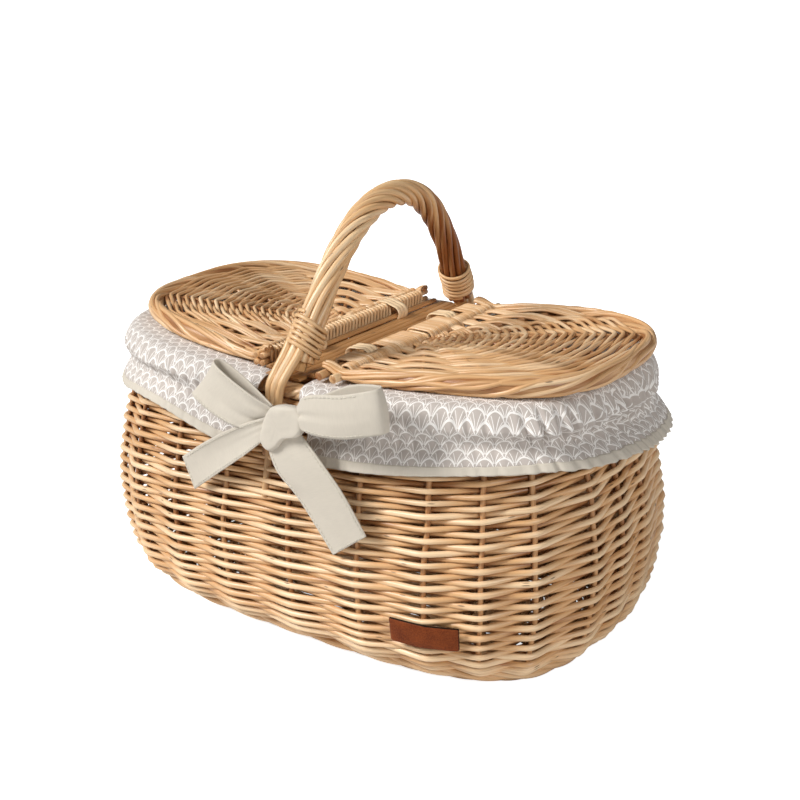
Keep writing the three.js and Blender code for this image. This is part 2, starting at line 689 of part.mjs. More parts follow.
// Ribbon tail: a strip that hangs from the knot with a soft ripple and a slanting cut end
function bowTail(length, turn) {
  const steps = 10;
  const half = RIBBON_THICKNESS / 2;
  const sections = [];
  for (let i = 0; i <= steps; i += 1) {
    const share = i / steps;
    const ripple = TAIL_RIPPLE * Math.sin(2 * Math.PI * share) * share;
    const width = THREE.MathUtils.lerp(RIBBON_WIDTH * 0.6, RIBBON_WIDTH, Math.min(1, share * 3)) / 2;
    const corner = (u, v) => vec(share * length + u * width * 0.25 * share, ripple + v * half, u * width);
    sections.push([corner(-1, -1), corner(1, -1), corner(1, 1), corner(-1, 1)]);
  }
  const square = [[-1, -1], [1, -1], [1, 1], [-1, 1]].map(([x, y]) => new THREE.Vector2(x, y));
  const geometry = solidThrough(sections, false, square);
  geometry.translate(knotReach(turn, 0) + CLEAR, 0, 0);
  return geometry.rotateY(-turn);
}

function buildBow() {
  const seat = footRodPlace(knotLevel - KNOT_HEIGHT / 8) + FOOT_ROD_RADIUS + CLEAR;
  const besideStrand = (KNOT_SIDE - HANDLE_SIDE - FOOT_ROD_SPACING) / (KNOT_WIDTH / 2);
  const depth = seat + (KNOT_DEPTH / 2) * Math.sqrt(1 - besideStrand ** 2);
  const place = (geometry, lift) => geometry.translate(KNOT_SIDE, -depth - lift, knotLevel);
  const knot = new THREE.SphereGeometry(1, 16, 8);
  knot.scale(KNOT_WIDTH / 2, KNOT_DEPTH / 2, KNOT_HEIGHT / 2);
  addPart('bow_knot', place(knot, 0), SAGE);
  const degrees = THREE.MathUtils.degToRad;
  addPart('bow_loop_left', place(bowLoop(LOOP_LENGTH_LEFT - KNOT_WIDTH / 2, degrees(155)), LOOP_LIFT), SAGE);
  addPart('bow_loop_right', place(bowLoop(LOOP_LENGTH_RIGHT - KNOT_WIDTH / 2, degrees(20)), LOOP_LIFT), SAGE);
  addPart('bow_tail_left', place(bowTail(TAIL_LENGTH_LEFT - KNOT_WIDTH / 2, degrees(212)), 0), SAGE);
  addPart('bow_tail_right', place(bowTail(TAIL_LENGTH_RIGHT - KNOT_WIDTH / 2, degrees(-47)), 0), SAGE);
}

// Plain leather patch that follows the bend of the wall
function buildPatch() {
  const steps = 8;
  const sections = [];
  for (let i = 0; i <= steps; i += 1) {
    const s = PATCH_ALONG + PATCH_WIDTH * (i / steps - 0.5);
    const corner = (grow, z) => rim.at(s, wallOffset(z) + PATCH_PLAY + grow, z);
    const low = PATCH_LEVEL - PATCH_HEIGHT / 2;
    const high = PATCH_LEVEL + PATCH_HEIGHT / 2;
    sections.push([
      corner(0, low), corner(PATCH_THICKNESS, low), corner(PATCH_THICKNESS, PATCH_LEVEL),
      corner(PATCH_THICKNESS, high), corner(0, high), corner(0, PATCH_LEVEL),
    ]);
  }
  const thick = PATCH_THICKNESS;
  const tall = PATCH_HEIGHT;
  const bow = thick / 10;
  const outline = [
    new THREE.Vector2(0, 0), new THREE.Vector2(thick, 0), new THREE.Vector2(thick + bow, tall / 2),
    new THREE.Vector2(thick, tall), new THREE.Vector2(0, tall), new THREE.Vector2(bow, tall / 2),
  ];
  addPart('leather_patch', solidThrough(sections, false, outline), LEATHER);
}

buildBody();
buildValance();
buildBridge();
buildHandle();
buildLids();
buildBow();
buildPatch();

export default group;
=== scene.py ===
"""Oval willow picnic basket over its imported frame: woven body, lids, roped handle, valance and bow."""

import logging
import math
from dataclasses import dataclass, field
from enum import Enum
from functools import cached_property

import bpy
import numpy as np
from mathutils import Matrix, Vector


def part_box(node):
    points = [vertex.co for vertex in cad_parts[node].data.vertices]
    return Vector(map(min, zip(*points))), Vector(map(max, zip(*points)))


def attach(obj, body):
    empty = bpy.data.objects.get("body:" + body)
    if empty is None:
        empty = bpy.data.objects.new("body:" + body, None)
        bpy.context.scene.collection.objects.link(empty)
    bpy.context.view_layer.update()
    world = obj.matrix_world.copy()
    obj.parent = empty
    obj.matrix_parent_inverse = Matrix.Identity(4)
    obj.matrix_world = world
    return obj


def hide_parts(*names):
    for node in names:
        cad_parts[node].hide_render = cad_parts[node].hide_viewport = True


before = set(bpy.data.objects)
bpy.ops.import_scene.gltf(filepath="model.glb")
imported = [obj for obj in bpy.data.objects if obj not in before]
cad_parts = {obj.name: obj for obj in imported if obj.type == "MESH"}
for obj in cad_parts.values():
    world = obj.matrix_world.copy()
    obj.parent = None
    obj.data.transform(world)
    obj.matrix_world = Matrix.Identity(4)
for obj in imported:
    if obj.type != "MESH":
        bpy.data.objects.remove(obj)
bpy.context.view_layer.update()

Array = np.ndarray
Point = tuple[float, float, float]
LOG = logging.getLogger("picnic_basket")
MM = 0.001
TURN = 2 * math.pi
ACROSS, BACK, UP = np.eye(3)
GOLDEN = 1.618
SQUARENESS = 3.2
BORDER_OVERHANG = 2.0
LEFT_LID_SHORTFALL = 13.0
LEFT_LID_SQUARENESS = 3.0


class Body(Enum):
    """The bodies of the frame that pieces ride on."""

    BASKET = "basket"
    LID_LEFT = "lid_left"
    LID_RIGHT = "lid_right"


class Slot(Enum):
    """The material slots of the record."""

    WILLOW = "willow"
    WILLOW_DARK = "willow_dark"
    WILLOW_PALE = "willow_pale"
    PRINT_CLOTH = "print_cloth"
    SAGE_CLOTH = "sage_cloth"
    LEATHER = "leather"


# Numbers and curves


def unit(vectors: Array) -> Array:
    """Vectors at length one along the last axis."""
    return vectors / np.maximum(np.linalg.norm(vectors, axis=-1, keepdims=True), 1e-12)


def node_box(node: str) -> tuple[Array, Array]:
    """Lowest and highest corner of a node of the frame, in millimetres."""
    low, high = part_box(node)
    return np.array(low) / MM, np.array(high) / MM


def ripple(x: Array, period: float, rng: np.random.Generator, octaves: int = 3) -> Array:
    """Smooth seeded noise: sines whose periods shrink by the golden ratio, with phases for each row.

    Args:
        x: Places along each row, as rows by stations.
        period: Longest period, in the unit of x.
        rng: Seeded generator for the phases.
        octaves: How many sines are added.

    Returns:
        Values of about -1 to 1 in the shape of x.
    """
    shrink = GOLDEN ** np.arange(octaves)
    phases = rng.uniform(0, TURN, (len(x), 1, octaves))
    waves = np.sin(TURN * x[..., None] * shrink / period + phases) / shrink**0.7
    return waves.sum(-1) / 1.6


def spline(points: list, shares: Array) -> Array:
    """Catmull-Rom curve: each span is a cubic whose end slopes are half the chord between the neighbours.

    Args:
        points: Points that the curve passes through.
        shares: Places from 0 at the first point to 1 at the last.

    Returns:
        One point for each share.
    """
    p = np.asarray(points, float)
    last = len(p) - 1
    x = np.clip(shares, 0, 1) * last
    i = np.minimum(x.astype(int), last - 1)
    f = (x - i)[..., None]
    a, b, c, d = p[np.maximum(i - 1, 0)], p[i], p[i + 1], p[np.minimum(i + 2, last)]
    return 0.5 * (2 * b + (c - a) * f + (2 * a - 5 * b + 4 * c - d) * f**2 + (3 * b - a - 3 * c + d) * f**3)


def lengths(path: Array) -> Array:
    """Length walked along a path up to each of its points."""
    return np.concatenate([[0.0], np.cumsum(np.linalg.norm(np.diff(path, axis=0), axis=1))])


def sample(at: Array, walked: Array, table: Array) -> Array:
    """Rows of a table at places along its walked lengths, straight between its rows.

    Args:
        at: Places to look up.
        walked: Rising place of each row of the table.
        table: Rows of values.

    Returns:
        One row of values for each place.
    """
    return np.stack([np.interp(at, walked, column) for column in table.T], -1)


def between(marks: Array, at: Array) -> Array:
    """Values of each row straight between its numbered marks.

    Args:
        marks: Rows by marks, with or without a last axis of values.
        at: Mark numbers to look up, with fractions.

    Returns:
        Rows by places, with the same last axis.
    """
    left = np.minimum(at.astype(int), marks.shape[1] - 2)
    part = (at - left).reshape(-1, *(1,) * (marks.ndim - 2))
    return marks[:, left] * (1 - part) + marks[:, left + 1] * part


def softened(paths: Array) -> Array:
    """Paths rounded by a running mean of three points, weighted 1, 2, 1, with their ends kept."""
    middle = paths[:, 1:-1] / 2 + (paths[:, :-2] + paths[:, 2:]) / 4
    return np.concatenate([paths[:, :1], middle, paths[:, -1:]], 1)


def hump(distance: Array, spread: float) -> Array:
    """Bell curve of a distance: 1 at 0, and 1/e at the spread."""
    return np.exp(-((distance / spread) ** 2))


def signed_power(wave: Array, squareness: float) -> Array:
    """A sine or cosine bent for a superellipse: |wave|^(2/n) with its sign kept."""
    return np.sign(wave) * np.abs(wave) ** (2 / squareness)


def even(path: Array, count: int) -> Array:
    """Points spaced evenly along a dense path.

    Args:
        path: Dense points of the path.
        count: How many points to return.

    Returns:
        The evenly spaced points, ends included.
    """
    walked = lengths(path)
    return sample(np.linspace(0, walked[-1], count), walked, path)


def on_grid(grid: Array, u: Array, v: Array) -> Array:
    """Points of a grid surface at shares u and v of its rows and columns, by bilinear weights."""
    x, y = u * (grid.shape[0] - 1), v * (grid.shape[1] - 1)
    i = np.clip(x.astype(int), 0, grid.shape[0] - 2)
    j = np.clip(y.astype(int), 0, grid.shape[1] - 2)
    f, g = (x - i)[..., None], (y - j)[..., None]
    low = grid[i, j] * (1 - g) + grid[i, j + 1] * g
    high = grid[i + 1, j] * (1 - g) + grid[i + 1, j + 1] * g
    return low * (1 - f) + high * f


@dataclass(frozen=True)
class Oval:
    """Superellipse walked by its length, from the front middle towards +X."""

    half_length: float
    half_width: float
    squareness: float
    samples: int = 4096

    @cached_property
    def table(self) -> tuple[Array, Array]:
        """Walked lengths and points: x = a|sin|^(2/n), y = -b|cos|^(2/n), signs kept."""
        angle = np.linspace(0, TURN, self.samples + 1)
        x = self.half_length * signed_power(np.sin(angle), self.squareness)
        y = -self.half_width * signed_power(np.cos(angle), self.squareness)
        points = np.stack([x, y], -1)
        return lengths(points), points

    @property
    def length(self) -> float:
        """Length of the whole oval."""
        return float(self.table[0][-1])

    def normal(self, s: Array) -> Array:
        """Outward normals at lengths s: the gradient of |x/a|^n + |y/b|^n."""
        place = self.at(s, 0.0)[..., :2]
        axes = np.array([self.half_length, self.half_width])
        slope = np.sign(place) * np.abs(place / axes) ** (self.squareness - 1) / axes
        flat = unit(slope)
        return np.concatenate([flat, np.zeros_like(flat[..., :1])], -1)

    def at(self, s: Array, offset: Array | float, z: Array | float = 0.0) -> Array:
        """Points at lengths s, moved out by offset along the normal, at height z.

        Args:
            s: Lengths from the front middle.
            offset: Distance outwards from the oval.
            z: Heights.

        Returns:
            Points with a last axis of three.
        """
        walked, points = self.table
        flat = sample(np.mod(s, walked[-1]), walked, points)
        place = np.concatenate([flat, np.zeros_like(flat[..., :1])], -1)
        if np.any(offset):
            place = place + self.normal(s) * np.asarray(offset)[..., None]
        return place + UP * np.asarray(z)[..., None]


# Mesh building


class PieceMesh:
    """Tubes, rings and grids gathered into one mesh, in millimetres."""

    END_ROUND = 0.12
    END_SHRINK = 0.88
    END_TONE = 0.4
    GRAIN_SPREAD = 3000
    SHARP_ANGLE = math.radians(72)

    def __init__(self, name: str) -> None:
        """Starts an empty mesh under the piece's name."""
        self.name = name
        self.rng = np.random.default_rng(sum(map(ord, name)))
        self.count = 0
        self.points: list[Array] = []
        self.tones: list[Array] = []
        self.loops: list[Array] = []
        self.sides: list[Array] = []
        self.uvs: list[Array] = []

    def _put_points(self, points: Array, tone: Array) -> int:
        """Adds points with their tones and gives the index of the first."""
        start = self.count
        self.points.append(points.reshape(-1, 3))
        self.tones.append(np.broadcast_to(tone, points.shape[:-1]).reshape(-1))
        self.count += len(self.points[-1])
        return start

    def _put_faces(self, faces: Array, uvs: Array) -> None:
        """Adds faces of equal side counts, with the UV of each corner in metres."""
        self.loops.append(faces.reshape(-1))
        self.sides.append(np.full(faces.size // faces.shape[-1], faces.shape[-1]))
        self.uvs.append(uvs.reshape(-1, 2))

    @staticmethod
    def _corners(cells: Array) -> Array:
        """Corner values of each cell of a grid whose rows and columns are axes 1 and 2."""
        parts = [cells[:, :-1, :-1], cells[:, :-1, 1:], cells[:, 1:, 1:], cells[:, 1:, :-1]]
        return np.stack(parts, axis=3)

    def add_rings(self, rings: Array, closed: bool = False, tone: Array | float = 0.5) -> None:
        """Skins through rings of points: neighbours are joined by quads and open ends are capped.

        Args:
            rings: Points as bodies by rings by points round each ring, by three.
            closed: Whether the last ring joins the first.
            tone: Colour tone for each body, or for each ring of each body.
        """
        bodies, rows, sides = rings.shape[:3]
        tones = np.asarray(tone, float)
        start = self._put_points(rings, tones.reshape(tones.shape + (1,) * (3 - tones.ndim)))
        index = start + np.arange(bodies * rows * sides).reshape(bodies, rows, sides)
        middle = rings.mean(2)
        if closed:
            index = np.concatenate([index, index[:, :1]], 1)
            middle = np.concatenate([middle, middle[:, :1]], 1)
        wrapped = np.concatenate([index, index[:, :, :1]], 2)
        walked = np.cumsum(np.linalg.norm(np.diff(middle, axis=1), axis=-1), axis=1)
        start_at = self.rng.uniform(0, self.GRAIN_SPREAD, (bodies, 1))
        walked = np.concatenate([np.zeros((bodies, 1)), walked], 1) + start_at
        girth = np.linalg.norm(np.diff(rings[:, rows // 2], axis=1), axis=-1).mean() * np.arange(sides + 1)
        cells = np.stack(np.broadcast_arrays(walked[:, :, None], girth), -1) * MM
        self._put_faces(self._corners(wrapped[..., None])[..., 0], self._corners(cells))
        if not closed:
            for ring, place in ((index[:, 0, ::-1], walked[:, 0]), (index[:, -1], walked[:, -1])):
                cap = np.stack(np.broadcast_arrays(place[:, None], girth[:-1]), -1) * MM
                self._put_faces(ring, cap)

    def add_tubes(self, paths: Array, out: Array, radius: Array | float, sides: int = 6,
                  closed: bool = False, tone: Array | float = 0.5, flat: float = 1.0) -> None:
        """Rods: a round or flattened section carried along each path.

        The section's first axis is the part of out that is square to the path, and its second is the
        path's direction crossed with the first. Open rods end in a small chamfer and a browner cut.

        Args:
            paths: Points as rods by stations by three, or one rod.
            out: Direction that the section's first axis leans to.
            radius: Radius along the first axis.
            sides: Points round the section.
            closed: Whether each path closes on itself.
            tone: Colour tone of each rod, or of each station of each rod.
            flat: Second half-width as a share of the first.
        """
        paths = np.asarray(paths, float)
        paths = paths[None] if paths.ndim == 2 else paths
        out = np.broadcast_to(out, paths.shape)
        radius, tone = np.broadcast_to(radius, paths.shape[:2]), np.asarray(tone, float)
        tone = np.broadcast_to(tone[:, None] if tone.ndim == 1 else tone, paths.shape[:2])
        if closed:
            tangent = unit(np.roll(paths, -1, 1) - np.roll(paths, 1, 1))
        else:
            tangent = unit(np.gradient(paths, axis=1))
            nose = self.END_ROUND * radius[..., None] * tangent
            pad = lambda a: np.concatenate([a[:, :1], a, a[:, -1:]], 1)
            paths = np.concatenate([paths[:, :1] - nose[:, :1], paths, paths[:, -1:] + nose[:, -1:]], 1)
            tangent, out, radius, tone = pad(tangent), pad(out), pad(radius), pad(tone)
            radius[:, [0, -1]] *= self.END_SHRINK
            tone[:, [0, -1]] *= self.END_TONE
        first = unit(out - (out * tangent).sum(-1, keepdims=True) * tangent)
        second = np.cross(tangent, first)
        angle = TURN * np.arange(sides) / sides
        ring = first[:, :, None] * np.cos(angle)[:, None] + flat * second[:, :, None] * np.sin(angle)[:, None]
        self.add_rings(paths[:, :, None] + ring * radius[..., None, None], closed, tone)

    def add_grid(self, grid: Array, uv: Array, turned: bool = False, tone: float = 0.5) -> None:
        """One open surface over a grid of points.

        Args:
            grid: Points as rows by columns by three.
            uv: Cloth coordinates of the points, in metres.
            turned: Whether the faces look the other way.
            tone: Colour tone of the surface.
        """
        rows, columns = grid.shape[:2]
        start = self._put_points(grid, np.asarray(tone))
        index = start + np.arange(rows * columns).reshape(1, rows, columns, 1)
        faces, corners = self._corners(index)[..., 0], self._corners(uv[None])
        order = slice(None, None, -1) if turned else slice(None)
        self._put_faces(faces[..., order], corners[..., order, :])

    def build(self, finish: bpy.types.Material, body: Body, slot: Slot, *nodes: str) -> bpy.types.Object:
        """Makes the mesh object, rides it on its body and puts it in place of nodes of the frame.

        Args:
            finish: Material of the piece.
            body: Body that the piece rides on.
            slot: Slot of the record that its finish comes from; not used.
            nodes: Nodes of the frame that the piece stands for.

        Returns:
            The finished object.
        """
        mesh = bpy.data.meshes.new(self.name)
        points = (np.concatenate(self.points) * MM).astype(np.float32)
        loops = np.concatenate(self.loops).astype(np.int32)
        sides = np.concatenate(self.sides).astype(np.int32)
        mesh.vertices.add(len(points))
        mesh.vertices.foreach_set("co", points.ravel())
        mesh.loops.add(len(loops))
        mesh.loops.foreach_set("vertex_index", loops)
        mesh.polygons.add(len(sides))
        mesh.polygons.foreach_set("loop_start", np.cumsum(sides, dtype=np.int32) - sides)
        layer = mesh.uv_layers.new(name="uv")
        layer.data.foreach_set("uv", np.concatenate(self.uvs).astype(np.float32).ravel())
        tone = mesh.attributes.new("tone", "FLOAT", "POINT")
        tone.data.foreach_set("value", np.concatenate(self.tones).astype(np.float32))
        mesh.update(calc_edges=True)
        mesh.validate()
        mesh.shade_smooth()
        mesh.set_sharp_from_angle(angle=self.SHARP_ANGLE)
        mesh.materials.append(finish)
        piece = bpy.data.objects.new(self.name, mesh)
        bpy.context.scene.collection.objects.link(piece)
        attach(piece, body.value)
        if nodes:
            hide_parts(*nodes)
        LOG.info("%s: %d faces on %s", self.name, len(sides), body.value)
        return piece


def thicken(piece: bpy.types.Object, thickness: float) -> None:
    """Gives a sheet its cloth thickness, half to each side, in millimetres."""
    shell = piece.modifiers.new("thickness", "SOLIDIFY")
    shell.thickness = thickness * MM
    shell.offset = 0.0


# Finishes


def srgb(code: str) -> tuple[float, float, float, float]:
    """Linear colour of a six-figure hex code."""
    parts = [int(code[k:k + 2], 16) / 255 for k in (0, 2, 4)]
    linear = [c / 12.92 if c <= 0.04045 else ((c + 0.055) / 1.055) ** 2.4 for c in parts]
    return (*linear, 1.0)


class NodeDesk:
    """Short calls for placing and joining the nodes of one tree."""

    def __init__(self, tree: bpy.types.NodeTree) -> None:
        """Works on a node tree."""
        self.tree = tree

    def add(self, kind: str, inputs: dict | None = None, **settings: object) -> bpy.types.Node:
        """Places a node.

        Args:
            kind: Node type.
            inputs: Socket names or numbers with a value or an output to join.
            settings: Properties of the node.

        Returns:
            The node.
        """
        node = self.tree.nodes.new(kind)
        for name, value in settings.items():
            setattr(node, name, value)
        self.feed(node, inputs or {})
        return node

    def feed(self, node: bpy.types.Node, inputs: dict) -> None:
        """Sets inputs of a node, each to a value or to an output to join."""
        for key, value in inputs.items():
            if isinstance(value, bpy.types.NodeSocket):
                self.tree.links.new(value, node.inputs[key])
            else:
                node.inputs[key].default_value = value

    def math(self, operation: str, *values: object) -> bpy.types.NodeSocket:
        """Output of a math node over up to three values."""
        return self.add("ShaderNodeMath", dict(enumerate(values)), operation=operation).outputs[0]

    def ramp(self, value: object, low: float, high: float) -> bpy.types.NodeSocket:
        """Value eased from 0 at low to 1 at high."""
        inputs = {0: value, 1: low, 2: high}
        return self.add("ShaderNodeMapRange", inputs, interpolation_type="SMOOTHSTEP").outputs[0]

    def mix(self, share: object, first: object, second: object, blend: str = "MIX") -> bpy.types.NodeSocket:
        """Colour between first and second by share."""
        inputs = {0: share, 6: first, 7: second}
        return self.add("ShaderNodeMix", inputs, data_type="RGBA", blend_type=blend).outputs[2]

    def tone(self) -> bpy.types.NodeSocket:
        """Tone of the piece's points."""
        return self.add("ShaderNodeAttribute", attribute_name="tone").outputs["Fac"]

    def bump(self, height: object, strength: float, distance: float) -> bpy.types.NodeSocket:
        """Normal bumped by a height, over a distance in metres."""
        inputs = {"Strength": strength, "Distance": distance, "Height": height}
        return self.add("ShaderNodeBump", inputs).outputs[0]

    def uv_parts(self) -> bpy.types.bpy_prop_collection:
        """Parts of the piece's own UV, along and across."""
        source = self.add("ShaderNodeUVMap", uv_map="uv").outputs[0]
        return self.add("ShaderNodeSeparateXYZ", {0: source}).outputs

    def uv(self, scale: tuple[float, float]) -> bpy.types.NodeSocket:
        """The piece's own UV, stretched by a scale along and across."""
        source = self.add("ShaderNodeUVMap", uv_map="uv").outputs[0]
        return self.add("ShaderNodeMapping", {"Vector": source, "Scale": (*scale, 1.0)}).outputs[0]

    def noise(self, vector: object, scale: float, detail: float = 3.0) -> bpy.types.NodeSocket:
        """Value of a noise texture."""
        inputs = {"Vector": vector, "Scale": scale, "Detail": detail}
        return self.add("ShaderNodeTexNoise", inputs).outputs[0]


def node_group(name: str, inputs: dict[str, tuple], outputs: dict[str, str]) -> tuple:
    """Starts a shader node group.

    Args:
        name: Name of the group.
        inputs: Input names with their socket type and default.
        outputs: Output names with their socket type.

    Returns:
        The tree, its desk, its input sockets by name and its output node.
    """
    tree = bpy.data.node_groups.new(name, "ShaderNodeTree")
    for label, (kind, default) in inputs.items():
        tree.interface.new_socket(label, in_out="INPUT", socket_type=kind).default_value = default
    for label, kind in outputs.items():
        tree.interface.new_socket(label, in_out="OUTPUT", socket_type=kind)
    desk = NodeDesk(tree)
    return tree, desk, desk.add("NodeGroupInput").outputs, desk.add("NodeGroupOutput")


def willow_skin_group() -> bpy.types.NodeTree:
    """Skin of a peeled rod: tone by rod, streaks along it, mottling and small knots.

    Returns:
        The group, with Color, Roughness and Height outputs.
    """
    colour, value = "NodeSocketColor", "NodeSocketFloat"
    greys = {"Pale": "ffffff", "Tan": "808080", "Brown": "404040"}
    inputs = {label: (colour, srgb(code)) for label, code in greys.items()}
    outputs = {"Color": colour, "Roughness": value, "Height": value}
    tree, desk, given, out = node_group("willow skin", inputs, outputs)
    # The tone attribute is partly the rods' own tone and partly painted shade set by the wall, lid and
    # handle; low tones mix towards Brown.
    tone = desk.tone()
    streak = desk.noise(desk.uv((28.0, 900.0)), 1.0, 4.0)
    patch = desk.noise(desk.uv((16.0, 90.0)), 1.0, 3.0)
    spot = desk.add("ShaderNodeTexVoronoi", {"Vector": desk.uv((34.0, 170.0)), "Scale": 1.0}).outputs[0]
    knot = desk.math("SUBTRACT", 1.0, desk.ramp(spot, 0.06, 0.13))
    shade = desk.math("ADD", tone, desk.math("MULTIPLY", desk.math("SUBTRACT", patch, 0.5), 0.9))
    body = desk.mix(desk.ramp(shade, 0.42, 1.0), given["Tan"], given["Pale"])
    body = desk.mix(desk.ramp(shade, 0.42, 0.0), body, given["Brown"])
    lines = desk.math("MULTIPLY", desk.ramp(streak, 0.5, 0.72), 0.34)
    body = desk.mix(lines, body, given["Brown"])
    body = desk.mix(desk.math("MULTIPLY", knot, 0.75), body, srgb("4a2c17"))
    rough = desk.math("MULTIPLY_ADD", streak, 0.22, 0.26)
    height = desk.math("MULTIPLY_ADD", knot, 0.6, desk.math("ADD", streak, patch))
    desk.feed(out, {"Color": body, "Roughness": rough, "Height": height})
    return tree


def cloth_weave_group() -> bpy.types.NodeTree:
    """Plain weave: warp and weft as crossed sines of the cloth coordinates, with slubs from a noise.

    Returns:
        The group, with Height and Shade outputs.
    """
    value = "NodeSocketFloat"
    inputs, outputs = {"Threads": (value, 1400.0)}, {"Height": value, "Shade": value}
    tree, desk, given, out = node_group("cloth weave", inputs, outputs)
    parts = desk.uv_parts()
    turn = desk.math("MULTIPLY", given["Threads"], TURN)
    warp = desk.math("SINE", desk.math("MULTIPLY", parts[0], turn))
    weft = desk.math("SINE", desk.math("MULTIPLY", parts[1], turn))
    slub = desk.noise(desk.uv((900.0, 160.0)), 1.0, 2.0)
    soft = desk.noise(desk.uv((60.0, 60.0)), 1.0, 3.0)
    height = desk.math("MULTIPLY_ADD", desk.math("MULTIPLY", warp, weft), 0.5, slub)
    shade = desk.math("ADD", desk.math("MULTIPLY", slub, 0.5), desk.math("MULTIPLY", soft, 0.5))
    desk.feed(out, {"Height": height, "Shade": shade})
    return tree


def new_material(name: str) -> tuple[bpy.types.Material, NodeDesk, bpy.types.Node]:
    """Starts a material.

    Args:
        name: Name of the material.

    Returns:
        The material, its desk and its Principled shader.
    """
    material = bpy.data.materials.new(name)
    material.use_nodes = True
    return material, NodeDesk(material.node_tree), material.node_tree.nodes["Principled BSDF"]


@dataclass(frozen=True)
class WillowFinish:
    """Satin skin of willow rods, from a pale to a brown tone."""

    name: str
    pale: str
    tan: str
    brown: str

    def material(self, skin: bpy.types.NodeTree) -> bpy.types.Material:
        """Material of the rods.

        Args:
            skin: The willow skin group.

        Returns:
            The material.
        """
        material, desk, shader = new_material(self.name)
        colours = {"Pale": srgb(self.pale), "Tan": srgb(self.tan), "Brown": srgb(self.brown)}
        looks = desk.add("ShaderNodeGroup", colours, node_tree=skin).outputs
        desk.feed(shader, {
            "Base Color": looks["Color"], "Roughness": looks["Roughness"], "Specular IOR Level": 0.5,
            "Normal": desk.bump(looks["Height"], 0.35, 0.0005),
        })
        return material


@dataclass(frozen=True)
class ClothFinish:
    """Matt plain-woven cotton, plain or printed with overlapping fans."""

    name: str
    ground: str
    print_colour: str | None = None
    fan_width: float = 12.0
    fan_rise: float = 6.7
    line: float = 0.25
    rim_start: float = 0.915
    rib_reach: tuple[float, float] = (0.2, 0.86)
    rib_shares: tuple[float, float] = (0.24, 0.62)
    rib_power: float = 1.6
    ink: float = 0.92

    def material(self, weave: bpy.types.NodeTree) -> bpy.types.Material:
        """Material of the cloth.

        Args:
            weave: The cloth weave group.

        Returns:
            The material.
        """
        material, desk, shader = new_material(self.name)
        looks = desk.add("ShaderNodeGroup", node_tree=weave).outputs
        shade = desk.math("MULTIPLY_ADD", looks["Shade"], 0.22, 0.89)
        ground = desk.mix(1.0, srgb(self.ground), shade, "MULTIPLY")
        if self.print_colour:
            ground = desk.mix(self.fan_lines(desk), ground, srgb(self.print_colour))
        desk.feed(shader, {
            "Base Color": ground, "Roughness": 0.88, "Specular IOR Level": 0.25, "Sheen Weight": 0.15,
            "Normal": desk.bump(looks["Height"], 0.3, 0.0003),
        })
        return material

    def fan_lines(self, desk: NodeDesk) -> bpy.types.NodeSocket:
        """Lines of the fan print: half ellipses on rows of half-dropped feet, the lower row over the upper.

        An ellipse is two rows tall and passes through the neighbouring feet. Near its edge lies the rim line,
        and inside it the ribs spread from the foot as x = share * edge * (y / rise) ** power.

        Args:
            desk: Desk of the material.

        Returns:
            Mask of the printed lines.
        """
        u, v, _ = desk.uv_parts()
        row = desk.math("FLOOR", desk.math("DIVIDE", v, self.fan_rise * MM))
        tall = 2 * self.fan_rise
        wide = self.fan_width / 2 / math.sqrt(1 - (self.fan_rise / tall) ** 2)

        def foot(rows_down: float) -> tuple:
            """Place in a fan of a row, from the fan's foot, in millimetres, and its share of the ellipse."""
            line = desk.math("SUBTRACT", row, rows_down)
            shift = desk.math("MULTIPLY", desk.math("FLOORED_MODULO", line, 2.0), 0.5)
            along = desk.math("ADD", desk.math("DIVIDE", u, self.fan_width * MM), shift)
            share = desk.math("SUBTRACT", desk.math("FRACT", along), 0.5)
            x = desk.math("MULTIPLY", share, self.fan_width)
            y = desk.math("SUBTRACT", desk.math("DIVIDE", v, MM), desk.math("MULTIPLY", line, self.fan_rise))
            shares = [desk.math("ABSOLUTE", desk.math("DIVIDE", *pair)) for pair in ((x, wide), (y, tall))]
            squares = [desk.math("POWER", each, 2.0) for each in shares]
            return x, y, desk.math("SQRT", desk.math("ADD", *squares))

        x_low, y_low, far_low = foot(1.0)
        x_own, y_own, far_own = foot(0.0)
        inside = desk.math("LESS_THAN", far_low, 1.0)
        pick = lambda a, b: desk.math("ADD", b, desk.math("MULTIPLY", inside, desk.math("SUBTRACT", a, b)))
        x, y, far = pick(x_low, x_own), pick(y_low, y_own), pick(far_low, far_own)
        spread = desk.math("POWER", desk.math("DIVIDE", y, self.fan_rise), self.rib_power)
        edge = desk.math("MULTIPLY", spread, self.fan_width / 2)
        side = desk.math("ABSOLUTE", x)
        past = desk.math("GREATER_THAN", far, self.rib_reach[0])
        below = desk.math("MULTIPLY", desk.math("LESS_THAN", far, self.rib_reach[1]), past)
        lines = desk.math("GREATER_THAN", far, self.rim_start)
        for share in self.rib_shares:
            off = desk.math("ABSOLUTE", desk.math("SUBTRACT", side, desk.math("MULTIPLY", edge, share)))
            rib = desk.math("MULTIPLY", desk.math("LESS_THAN", off, self.line), below)
            lines = desk.math("MAXIMUM", lines, rib)
        return desk.math("MULTIPLY", lines, self.ink)


